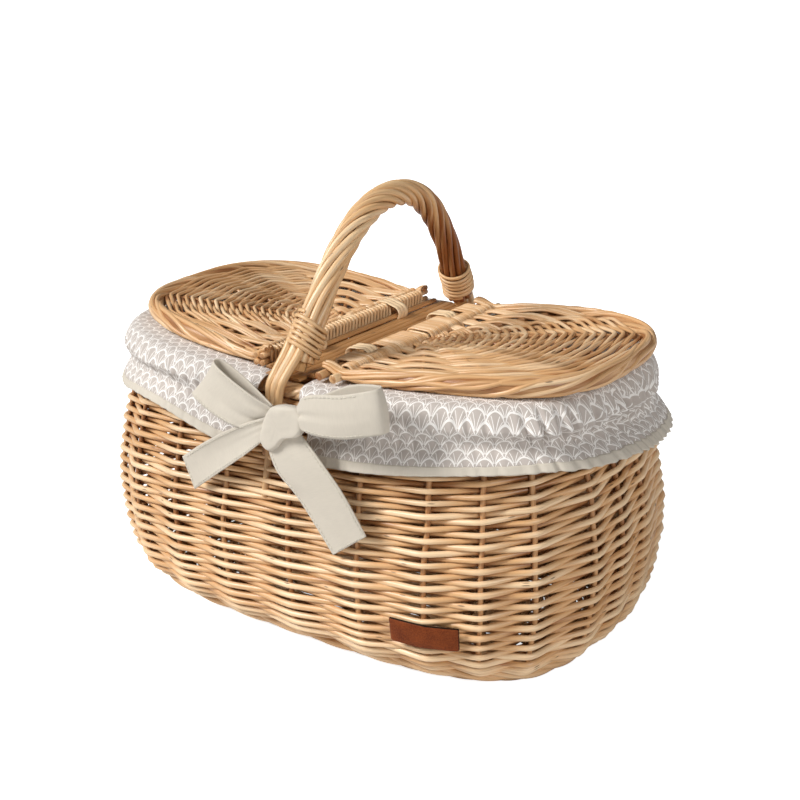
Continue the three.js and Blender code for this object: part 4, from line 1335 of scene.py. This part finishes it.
@dataclass
class Lid:
    """One woven lid: rows bent round its end, sticks fanning from the hinge, a border and hinge rods."""

    label: str
    side: int
    body: Body
    oval: Oval
    finishes: Finishes
    frame_dome: float = 8.0
    border_radius: float = 5.8
    border_swell: float = 0.4
    end_rise: float = 6.0
    dome: float = 10.0
    rows: int = 44
    bunch: int = 4
    bunch_from: float = 0.42
    bunch_blend: float = 0.2
    row_jitter: float = 0.003
    sticks: int = 7
    core_half: float = 4.0
    row_radius: float = 1.6
    swing: float = 1.9
    rim_rise: float = 2.6
    tilt: float = 3.2
    loop_stretch: tuple[float, float] = (44.0, 68.0)
    corner: float = 90.0
    middle_whip: float = 6.6
    # strength of the painted shade on the rows' stretches under the sticks
    shade: float = 0.6
    stick_radius: float = 1.8
    stick_dip: float = 2.2
    whip_pitch: float = 4.3
    skein: float = 1.0
    border_rods: int = 9
    border_lay: float = 220.0
    border_rod: float = 1.95
    rod_tones: tuple[float, ...] = (0.3, 0.75, 0.55, 0.4)
    loop_step: float = 4.6
    loop_skein: float = 0.95

    @cached_property
    def edge(self) -> float:
        """Distance of the woven panel's hinge side from the middle of the basket."""
        low, high = node_box(f"lid_{self.label}_weave")
        return float(min(abs(low[0]), abs(high[0])))

    @cached_property
    def level(self) -> float:
        """Height of the weave's middle."""
        low, high = node_box(f"lid_{self.label}_weave")
        return float(low[2] + high[2] - self.frame_dome) / 2

    def risen(self, x: Array) -> Array:
        """How far the lid has risen at x, from 0 at the hinge to 1 at its end: a quarter of a sine."""
        share = (np.abs(x) - self.edge) / (self.oval.half_length - self.edge)
        return np.sin(math.pi / 2 * np.clip(share, 0, 1))

    @cached_property
    def rods(self) -> list[tuple[str, Array, Array]]:
        """Hinge rods of the frame with their boxes."""
        names = [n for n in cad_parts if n.startswith(f"lid_{self.label}_hinge_rod")]
        return [(name, *node_box(name)) for name in sorted(names)]

    @property
    def bundled(self) -> bool:
        """Whether the hinge has a bundle of rods and not a pair."""
        return len(self.rods) > 2

    def outline(self, share: Array, offset: float) -> Array:
        """Free edge from the front hinge corner at 0 round the end to the back one at 1, at an offset."""
        s = np.linspace(0, self.oval.length / 4, 1500)
        start = float(np.interp(self.edge, self.oval.at(s, offset)[:, 0], s))
        along = start + (self.oval.length / 2 - 2 * start) * share
        return self.oval.at(self.side * along, offset)

    def panel(self, row: Array, share: Array) -> Array:
        """Points of the panel: straight lines from a short stretch of the hinge to the free edge.

        The panel is domed, and drawn up to the border by the cube of the row.

        Args:
            row: Shares of the way from the hinge to the free edge.
            share: Shares of the way along the free edge, from front to back.

        Returns:
            Points with a last axis of three.
        """
        outer = self.outline(share, 0.8 - 2 * self.border_radius)
        inner = [np.full_like(share, self.side * self.edge), self.core_half * (2 * share - 1), 0 * share]
        inner = np.stack(inner, -1)
        flat = inner * (1 - row[..., None]) + outer * row[..., None]
        rise = self.dome * self.risen(flat[..., 0]) + self.rim_rise * row**3
        return flat + UP * (self.level + rise + self.tilted(flat))[..., None]

    def tilted(self, points: Array) -> Array:
        """Slight rise of the lid from its front to its back, which fades out at the hinge."""
        return self.tilt * self.risen(points[..., 0]) * (points[..., 1] / self.oval.half_width + 1) / 2

    def build(self) -> None:
        """Builds the weave, the border, the hinge rods and the hinge loops."""
        self.build_weave()
        self.build_border()
        self.build_rods()
        self.build_loops()

    def build_weave(self) -> None:
        """Rows over and under the sticks: the height swings as a cosine that turns once over two sticks.

        Rows run straight from stick to stick. In the middle they alternate one by one, towards the hinge
        corners in bunches. The parts under the sticks are darkened as painted shade.
        """
        piece = PieceMesh(f"lid_weave_{self.label}")
        rng = piece.rng
        spans, fine = self.sticks + 1, 12
        share = np.broadcast_to(np.linspace(0, 1, spans * fine + 1), (self.rows, spans * fine + 1))
        number = np.arange(self.rows)[:, None]
        knots = np.linspace(0, 1, spans + 1)
        row = (number + 1) / (self.rows + 0.4) + self.row_jitter * rng.normal(size=(self.rows, spans + 1))
        marks = self.panel(np.clip(row, 0.02, 0.995), np.broadcast_to(knots, row.shape))
        points = between(marks, share[0] * spans)
        near = np.abs(share - 0.5) * 2
        aside = np.clip((near - self.bunch_from) / self.bunch_blend, 0, 1)
        shift = (number // self.bunch - number) % 2
        over = np.cos(math.pi * (spans * share + number + 1 + shift * aside))
        swing = self.swing * (0.75 + 0.4 * aside) + 0.3 * ripple(share * 300, 70.0, rng)
        points = points + UP * (swing * over * np.clip(number / 5.0 + 0.3, 0, 1))[..., None]
        points = softened(points)
        front, back = (self.row_ends(points[:, column, 1]) for column in (0, -1))
        paths = np.concatenate([front, points[:, 2:-2], back[:, ::-1]], 1)
        taper = 0.62 + 0.38 * np.sin(np.linspace(0, math.pi, paths.shape[1])) ** 0.7
        radius_row = self.row_radius * rng.uniform(0.9, 1.12, (self.rows, 1)) * taper
        bent = front.shape[1]
        # Painted shade: the stretches of each row under the sticks get a lower tone.
        under = np.pad(np.clip(-1.2 * over[:, 2:-2], 0, 1), ((0, 0), (bent, bent)))
        tone = np.clip(rng.normal(0.62, 0.17, (self.rows, 1)) - self.shade * under, 0, 1)
        piece.add_tubes(paths, UP, radius_row, tone=tone)
        reach = np.linspace(0.0, 1.0, 26)
        fan = np.stack([self.panel(reach, np.full_like(reach, place)) for place in knots[1:-1]])
        fan[..., 2] -= self.stick_dip * reach**8
        piece.add_tubes(fan, UP, self.stick_radius, tone=rng.uniform(0.0, 0.25, self.sticks))
        piece.build(self.finishes.willow, self.body, Slot.WILLOW, f"lid_{self.label}_weave")

    def row_ends(self, y: Array) -> Array:
        """Ends of the rows bent down over the hinge rods, over the first rod and then the last.

        Beside the loops and at the corners they bend over the last rod only, which leaves room there.

        Args:
            y: Place of each row's end along the hinge.

        Returns:
            Points as rows by stations by three, from the tip to the panel.
        """
        _, low, high = self.rods[-1]
        last = (low + high) / 2
        first = last if self.side < 0 else sum(self.rods[0][1:]) / 2
        over_first, over_last = np.linspace(185, 100, 6), np.linspace(80, 30, 4)
        bend = np.radians(np.concatenate([over_first, over_last]))
        aside = np.abs(y)[:, None]
        held = (aside > self.loop_stretch[0]) & (aside < self.loop_stretch[1]) | (aside > self.corner)
        held = held | (np.arange(len(bend)) >= len(over_first))
        radius = (high[2] - low[2]) / 2 + self.row_radius * 0.8
        reach = radius if self.side > 0 else radius * 0.7
        x = np.where(held, last[0], first[0]) + self.side * reach * np.cos(bend)
        return np.stack(np.broadcast_arrays(x, y[:, None], last[2] + radius * np.sin(bend)), -1)

    def build_border(self) -> None:
        """Border of long rods roped round the free edge, each a slow flattened helix about its middle line.

        The border grows taller and rises towards the end. Past the hinge corners the rods run on over
        the hinge rods.
        """
        piece = PieceMesh(f"lid_rope_{self.label}")
        bottom = float(node_box(f"lid_{self.label}_border")[0][2])
        middle = self.outline(np.linspace(0, 1, 260), -self.border_radius)
        risen = self.risen(middle[:, 0])
        tall = self.border_radius * (1 + self.border_swell * risen)
        middle = middle + UP * (bottom + tall + self.end_rise * risen + self.tilted(middle))[:, None]
        near = sum(self.rods[0][1:])[0] / 2 - self.side * 2.0
        level = bottom + self.border_radius
        top = max(self.rods[-1][2][2], level + 1) + 1.6
        tails = []
        for corner in (middle[0], middle[-1]):
            x = np.linspace(near, corner[0], 16, endpoint=False)
            rise = np.sin(np.linspace(math.pi / 2, 0, 16)) ** 2 * (top - level)
            tails.append(np.stack(np.broadcast_arrays(x, corner[1], level + rise), -1))
        path = even(np.concatenate([tails[0], middle, tails[1][::-1]]), 300)
        walked = lengths(path)
        out = np.cross(unit(np.gradient(path, axis=0)), UP) * self.side
        rods = self.border_rods
        phase = TURN * (walked / self.border_lay + np.arange(rods)[:, None] / rods)
        phase = phase + 0.7 * ripple(np.broadcast_to(walked, phase.shape), 190.0, piece.rng)
        ends = np.clip(np.minimum(walked, walked[-1] - walked) / 45.0, 0, 1)
        high = self.border_radius * (1 + self.border_swell * self.risen(path[:, 0])) - 1.8
        wide, spread = self.border_radius - 1.5, 0.3 + 0.7 * ends
        paths = path + np.cos(phase)[..., None] * out * wide
        paths = paths + np.sin(phase)[..., None] * UP * (high * spread)[:, None]
        taper = piece.rng.uniform(0.9, 1.1, (rods, 1)) * (0.75 + 0.25 * ends)
        tone = piece.rng.uniform(0.3, 0.9, rods)
        piece.add_tubes(paths, UP, self.border_rod * taper, sides=8, tone=tone)
        inner = slice(18, -18)
        piece.add_tubes(path[inner], UP, high[inner] - 0.2, sides=8, tone=0.15, flat=0.85)
        piece.build(self.finishes.willow, self.body, Slot.WILLOW, f"lid_{self.label}_border")

    def build_rods(self) -> None:
        """Hinge rods as straight tubes, with a skein whipped round them in a helix.

        A bundle is whipped along its whole length, a pair at its middle only.
        """
        piece = PieceMesh(f"hinge_rods_{self.label}")
        shrink = 0.8 if self.bundled else 0.68
        for tone, (_, low, high) in zip(self.rod_tones, self.rods):
            y = np.linspace(low[1], high[1], 60)
            path = np.stack(np.broadcast_arrays((low[0] + high[0]) / 2, y, (low[2] + high[2]) / 2), -1)
            piece.add_tubes(path, UP, shrink * (high[2] - low[2]) / 2, sides=12, tone=tone)
        piece.build(self.finishes.pale, self.body, Slot.WILLOW_PALE, *[name for name, _, _ in self.rods])
        ring, out = self.wound(self.rods, 0.2 if self.bundled else -0.6)
        half = float(self.rods[0][2][1]) - 8.0 if self.bundled else self.middle_whip
        whip = PieceMesh(f"hinge_whipping_{self.label}")
        place = np.arange(round(2 * half / self.whip_pitch) * len(ring) + 1)
        path, lean = ring[place % len(ring)], out[place % len(ring)]
        path = path + BACK * (half * (2 * place / place[-1] - 1))[:, None]
        whip.add_tubes(path, lean, self.skein, sides=7, tone=0.65, flat=1.45)
        whip.build(self.finishes.pale, self.body, Slot.WILLOW_PALE)

    @staticmethod
    def wound(boxes: list, grow: float, count: int = 40) -> tuple[Array, Array]:
        """Outline round the sections of rods, from the furthest rod in each direction.

        Args:
            boxes: Names and boxes of the rods.
            grow: Distance of the outline from the rods.
            count: Number of points.

        Returns:
            Points of the closed outline at y = 0, and the directions out of it.
        """
        centres = np.array([(low + high) / 2 for _, low, high in boxes]) * (ACROSS + UP)
        radii = np.array([(high[2] - low[2]) / 2 for _, low, high in boxes])
        angle = np.linspace(0, TURN, 400)
        out = np.stack([np.cos(angle), 0 * angle, np.sin(angle)], -1)
        best = np.argmax(out @ centres.T + radii, axis=1)
        ring = even(centres[best] + out * (radii[best] + grow)[:, None], count + 1)[:-1]
        return ring, np.cross(unit(np.roll(ring, -1, 0) - np.roll(ring, 1, 0)), BACK)

    def build_loops(self) -> None:
        """Hinge loops: three turns of pale skein side by side round the bridge rod and the lid's rods."""
        held = self.rods if self.bundled else self.rods[:1]
        ring, out = self.wound([("", *node_box(f"bridge_rod_{self.label}")), *held], 1.5, 72)
        keeper = self.body if self.bundled else Body.BASKET
        shifts, tones = self.loop_step * np.array([[-1.0], [0.0], [1.0]]), np.array([0.95, 0.85, 1.0])
        for place in ("front", "back"):
            node = f"lid_{self.label}_hinge_loop_{place}"
            low, high = node_box(node)
            piece = PieceMesh(f"hinge_skein_{self.label}_{place}")
            paths = np.broadcast_to(ring, (3, *ring.shape)).copy()
            paths[..., 1] = (low[1] + high[1]) / 2 + shifts
            piece.add_tubes(paths, out, self.loop_skein, sides=8, closed=True, tone=tones, flat=2.3)
            piece.build(self.finishes.pale, keeper, Slot.WILLOW_PALE, node)


# The bow and the patch


@dataclass
class Bow:
    """Ribbon bow tied over the handle's front strands: a knot, two loops and two tails."""

    finishes: Finishes
    thickness: float = 0.9
    seam: float = 2.0
    stitch: float = 2.3
    stitch_step: float = 3.3
    stitch_radius: float = 0.36
    knot_depths: tuple[float, float] = (3.8, 9.0)

    LEFT_LOOP_UPPER: tuple[Point, ...] = (
        (10, -153, 205), (-4, -158, 213), (-22, -159, 222), (-37, -157, 229),
        (-42, -152, 231), (-37, -148, 230), (-18, -147, 220), (8, -149, 205),
    )
    LEFT_LOOP_LOWER: tuple[Point, ...] = (
        (0, -153, 184), (-22, -158, 186), (-43, -158, 192), (-61, -155, 199),
        (-66, -151, 201), (-61, -147, 199), (-38, -146, 191), (0, -149, 184),
    )
    RIGHT_LOOP_UPPER: tuple[Point, ...] = (
        (38, -160, 211), (50, -167, 224), (62, -168, 229), (82, -166, 232), (101, -160, 237),
        (105, -155, 238), (101, -150, 238), (74, -148, 232), (36, -151, 212),
    )
    RIGHT_LOOP_LOWER: tuple[Point, ...] = (
        (36, -160, 200), (48, -165, 199), (62, -168, 199), (84, -167, 201), (108, -161, 207),
        (112, -156, 208), (108, -151, 207), (78, -147, 194), (36, -150, 192),
    )
    LEFT_TAIL_UPPER: tuple[Point, ...] = (
        (16, -158, 202), (-19, -157, 186), (-53, -153, 166), (-80, -151, 147),
    )
    LEFT_TAIL_LOWER: tuple[Point, ...] = (
        (10, -158, 184), (-13, -156, 165), (-41, -152, 144), (-70, -150, 122),
    )
    RIGHT_TAIL_UPPER: tuple[Point, ...] = (
        (36, -159, 198), (56, -157, 176), (74, -154, 153), (90, -150, 124),
    )
    RIGHT_TAIL_LOWER: tuple[Point, ...] = (
        (8, -157, 180), (16, -156, 159), (34, -153, 139), (61, -150, 102),
    )
    KNOT_OUTLINE: tuple[Point, ...] = (
        (9, -158, 199), (17, -160, 209), (32, -162, 213), (44, -162, 212), (46, -162, 201), (41, -162, 192),
        (28, -161, 187), (19, -159, 178), (11, -158, 174), (4, -157, 178), (4, -157, 188),
    )

    def ribbon(self, upper: tuple, lower: tuple, belly: float, seed: int) -> Array:
        """Ruled surface between two edge curves, with a belly across it and soft creases along it.

        Args:
            upper: Points of one edge.
            lower: Points of the other.
            belly: How far the middle stands out.
            seed: Seed of the creases.

        Returns:
            Grid of points, along by across.
        """
        rng = np.random.default_rng(seed)
        t, v = np.linspace(0, 1, 90), np.linspace(0, 1, 22)
        first, second = spline(upper, t)[:, None], spline(lower, t)[:, None]
        grid = first * (1 - v[:, None]) + second * v[:, None]
        normal = unit(np.cross(np.gradient(grid, axis=0), np.gradient(grid, axis=1)))
        crease = ripple(np.broadcast_to(v * 34, (1, len(v))), 22.0, rng, 3) * np.exp(-t / 0.18)[:, None]
        across = np.sin(math.pi * v)
        wave = belly * across * np.sin(math.pi * t)[:, None] + 1.3 * crease * across
        return grid + normal * wave[..., None]

    def stitches(self, piece: PieceMesh, grid: Array, u: Array, v: Array) -> None:
        """Row of short stitches lying on a grid surface.

        Args:
            piece: Mesh that gets the stitches.
            grid: The surface.
            u: Shares along the surface, from the row's start to its end.
            v: Shares across it.
        """
        dense = 400
        walked = lengths(on_grid(grid, np.linspace(*u, dense), np.linspace(*v, dense)))
        starts = np.arange(self.stitch_step, walked[-1] - self.stitch_step, self.stitch_step)
        at = starts[:, None] + np.linspace(0, self.stitch, 4)
        share = np.interp(at, walked, np.linspace(0, 1, dense))
        us, vs = u[0] + (u[1] - u[0]) * share, v[0] + (v[1] - v[0]) * share
        step = 0.004
        down = on_grid(grid, np.clip(us + step, 0, 1), vs) - on_grid(grid, np.clip(us - step, 0, 1), vs)
        side = on_grid(grid, us, np.clip(vs + step, 0, 1)) - on_grid(grid, us, np.clip(vs - step, 0, 1))
        normal = unit(np.cross(down, side))
        normal = normal * -np.sign(normal[..., 1:2])
        arch = 0.35 * np.sin(np.linspace(0, math.pi, 4))
        paths = on_grid(grid, us, vs) + normal * (self.thickness / 2 - 0.05 + arch)[..., None]
        piece.add_tubes(paths, normal, self.stitch_radius, sides=5, tone=0.5)

    def build(self) -> None:
        """Builds the ribbons, their stitches and the knot."""
        thread = PieceMesh("bow_stitches")
        plans = (
            ("bow_loop_left", self.LEFT_LOOP_UPPER, self.LEFT_LOOP_LOWER, -1.5, "folded"),
            ("bow_loop_right", self.RIGHT_LOOP_UPPER, self.RIGHT_LOOP_LOWER, -2.0, "folded"),
            ("bow_tail_left", self.LEFT_TAIL_UPPER, self.LEFT_TAIL_LOWER, -2.0, "hung"),
            ("bow_tail_right", self.RIGHT_TAIL_UPPER, self.RIGHT_TAIL_LOWER, -2.0, "hung"),
        )
        for seed, (node, upper, lower, belly, held) in enumerate(plans):
            grid = self.ribbon(upper, lower, belly, seed)
            tail = held == "hung"
            widest = -1 if tail else len(grid) // 2 - 1
            width = np.linalg.norm(grid[widest, 0] - grid[widest, -1])
            inset = self.seam / width
            last = 1.0 if tail else 0.47
            for v in (inset, 1 - inset):
                self.stitches(thread, grid, np.array([0.12, last - 0.02]), np.array([v, v]))
            if tail:
                u = 1 - self.seam / lengths(grid[:, 0])[-1]
                self.stitches(thread, grid, np.array([u, u]), np.array([inset, 1 - inset]))
            walked = np.stack([lengths(grid[:, k]) for k in (0, -1)]).mean(0)
            uv = np.stack(np.broadcast_arrays(walked[:, None], np.linspace(0, width, grid.shape[1])), -1) * MM
            piece = PieceMesh(f"{node}_ribbon")
            piece.add_grid(grid, uv)
            sheet = piece.build(self.finishes.sage, Body.BASKET, Slot.SAGE_CLOTH, node)
            thicken(sheet, self.thickness)
        thread.build(self.finishes.thread, Body.BASKET, Slot.SAGE_CLOTH)
        self.build_knot()

    def build_knot(self) -> None:
        """Knot: the outline shrunk in rings about its middle, bulging fore and aft, with slanting grooves."""
        piece = PieceMesh("bow_knot_wrap")
        closed = [*self.KNOT_OUTLINE, self.KNOT_OUTLINE[0]]
        outline = even(spline(closed, np.linspace(0, 1, 600)), 65)[:-1]
        middle = outline.mean(0)
        turn = np.linspace(0.06, math.pi - 0.06, 26)
        rings = middle + (outline - middle)[None] * (np.sin(turn) ** 0.2)[:, None, None]
        depth = np.where(np.cos(turn) > 0, *self.knot_depths) * np.cos(turn)
        slant = (rings - middle)[..., 0] * 0.5 - (rings - middle)[..., 2] * 0.85
        crease = 1.1 * np.exp(-((np.sin(slant / 6.5 + 0.7) / 0.32) ** 2)) * np.sin(turn)[:, None]
        rings[..., 1] -= depth[:, None] - crease * (np.cos(turn) > -0.2)[:, None]
        piece.add_rings(rings[None])
        knot = piece.build(self.finishes.sage, Body.BASKET, Slot.SAGE_CLOTH, "bow_knot")


@dataclass
class Patch:
    """Plain leather patch low on the front, bent to the wall."""

    wall: WallShape
    finishes: Finishes
    width: float = 48.0
    height: float = 19.5
    thickness: float = 2.5
    along: float = 125.0
    level: float = 51.5
    corner: float = 34.0
    sink: float = 2.4
    stand: float = 0.2

    def build(self) -> None:
        """Rounded outline shrunk in rings over the face, round the edge and over the back.

        It bends round the stake behind its middle, by the square of the distance from it.
        """
        piece = PieceMesh("leather_label_blank")
        angle = np.linspace(0, TURN, 120, endpoint=False)
        x = self.width / 2 * signed_power(np.cos(angle), self.corner)
        y = self.height / 2 * signed_power(np.sin(angle), self.corner)
        outline = np.stack([x, y], -1)
        size = np.array([0.02, 0.3, 0.6, 0.9, 0.975, 1.0, 1.0, 0.975, 0.6, 0.02])
        depth = np.array([1.0, 1.0, 1.0, 1.0, 0.94, 0.75, 0.25, 0.06, 0.0, 0.0]) * self.thickness
        flat = outline[None] * size[:, None, None]
        level = self.wall.at_height(self.level) + flat[..., 1]
        bent = self.sink * (2 * flat[..., 0] / self.width) ** 2
        rings = self.wall.place(self.along + flat[..., 0], level, self.stand + depth[:, None] - bent)
        face = np.where(size < 0.98, 1.0, 0.0) * (depth > 1.5)
        piece.add_rings(rings[None, ::-1], tone=face[None, ::-1])
        piece.build(self.finishes.leather, Body.BASKET, Slot.LEATHER, "leather_patch")


# Studio


@dataclass(frozen=True)
class Lamp:
    """A soft lamp: the direction to it, its strength and the angle that it fills in degrees."""

    name: str
    towards: Point
    strength: float
    softness: float


@dataclass
class Studio:
    """Pale floor, soft light, white backdrop and the camera."""

    azimuth: float = 34.2
    elevation: float = 19.4
    distance: float = 1160.0
    aim: Point = (4.6, 17.9, 159.7)
    focal_pixels: float = 1420.0
    frame_pixels: float = 800.0
    sensor: float = 36.0
    floor_level: float = -0.6
    floor_half: float = 30000.0
    floor_glow: float = 0.85
    ambient: float = 0.13
    lamps: tuple[Lamp, ...] = (
        Lamp("key", (-0.62, -0.64, 0.68), 3.5, 22.0), Lamp("fill", (0.84, -0.38, 0.45), 1.1, 14.0),
    )

    def build(self) -> None:
        """Builds the floor, the lamps, the world and the camera."""
        self.build_floor()
        self.build_world()
        for lamp in self.lamps:
            self.add_sun(lamp)
        self.build_camera()

    def build_floor(self) -> None:
        """Level square under the basket that keeps the shadow and looks white elsewhere."""
        half, z = self.floor_half, self.floor_level
        mesh = bpy.data.meshes.new("floor")
        corners = np.array([(-half, -half, z), (half, -half, z), (half, half, z), (-half, half, z)]) * MM
        mesh.from_pydata(corners.tolist(), [], [(0, 1, 2, 3)])
        material, desk, shader = new_material("floor")
        seen = desk.add("ShaderNodeLightPath").outputs["Is Camera Ray"]
        desk.feed(shader, {
            "Base Color": srgb("e6e6e6"), "Roughness": 0.9, "Specular IOR Level": 0.0,
            "Emission Color": srgb("ffffff"),
            "Emission Strength": desk.math("MULTIPLY", seen, self.floor_glow),
        })
        mesh.materials.append(material)
        floor = bpy.data.objects.new("floor", mesh)
        bpy.context.scene.collection.objects.link(floor)

    def build_world(self) -> None:
        """Even soft light that shows as white to camera rays and transmission rays."""
        world = bpy.data.worlds.new("studio")
        world.use_nodes = True
        bpy.context.scene.world = world
        desk = NodeDesk(world.node_tree)
        paths = desk.add("ShaderNodeLightPath").outputs
        seen = desk.math("MAXIMUM", paths["Is Camera Ray"], paths["Is Transmission Ray"])
        strength = desk.math("MAXIMUM", seen, self.ambient)
        background = world.node_tree.nodes["Background"]
        desk.feed(background, {"Color": srgb("ffffff"), "Strength": strength})

    @staticmethod
    def add_sun(lamp: Lamp) -> None:
        """Adds a soft sun."""
        data = bpy.data.lights.new(lamp.name, "SUN")
        data.energy = lamp.strength
        data.angle = math.radians(lamp.softness)
        sun = bpy.data.objects.new(lamp.name, data)
        sun.rotation_euler = Vector(lamp.towards).to_track_quat("Z", "Y").to_euler()
        bpy.context.scene.collection.objects.link(sun)

    def build_camera(self) -> None:
        """Camera at the photograph's angle, at a distance from the aim along the view's back direction."""
        a, e = math.radians(self.azimuth), math.radians(self.elevation)
        back = Vector((math.sin(a) * math.cos(e), -math.cos(a) * math.cos(e), math.sin(e)))
        data = bpy.data.cameras.new("camera")
        data.sensor_width = self.sensor
        data.lens = self.focal_pixels * self.sensor / self.frame_pixels
        data.clip_end = 200.0
        camera = bpy.data.objects.new("camera", data)
        camera.location = (Vector(self.aim) + back * self.distance) * MM
        camera.rotation_euler = back.to_track_quat("Z", "Y").to_euler()
        bpy.context.scene.collection.objects.link(camera)
        bpy.context.scene.camera = camera


def main() -> None:
    """Builds the basket in order, then the studio."""
    logging.basicConfig(level=logging.INFO, format="%(name)s %(message)s")
    bpy.context.scene.view_settings.view_transform = "Standard"
    finishes = Finishes()
    half_length, half_width, _ = node_box("top_border")[1].tolist()
    wall = WallShape(Oval(half_length - BORDER_OVERHANG, half_width - BORDER_OVERHANG, SQUARENESS))
    WovenBody(wall, finishes).build()
    Valance(wall, finishes).build()
    Bridge(finishes).build()
    Handle(wall, finishes).build()
    half_length, half_width, _ = node_box("lid_right_border")[1].tolist()
    right_oval = Oval(half_length, half_width, SQUARENESS)
    left_oval = Oval(half_length - LEFT_LID_SHORTFALL, half_width, LEFT_LID_SQUARENESS)
    Lid("right", 1, Body.LID_RIGHT, right_oval, finishes, end_rise=8.0, dome=12.5).build()
    Lid("left", -1, Body.LID_LEFT, left_oval, finishes).build()
    Bow(finishes).build()
    Patch(wall, finishes).build()
    Studio().build()
    bpy.context.view_layer.update()


if __name__ == "__main__":
    main()
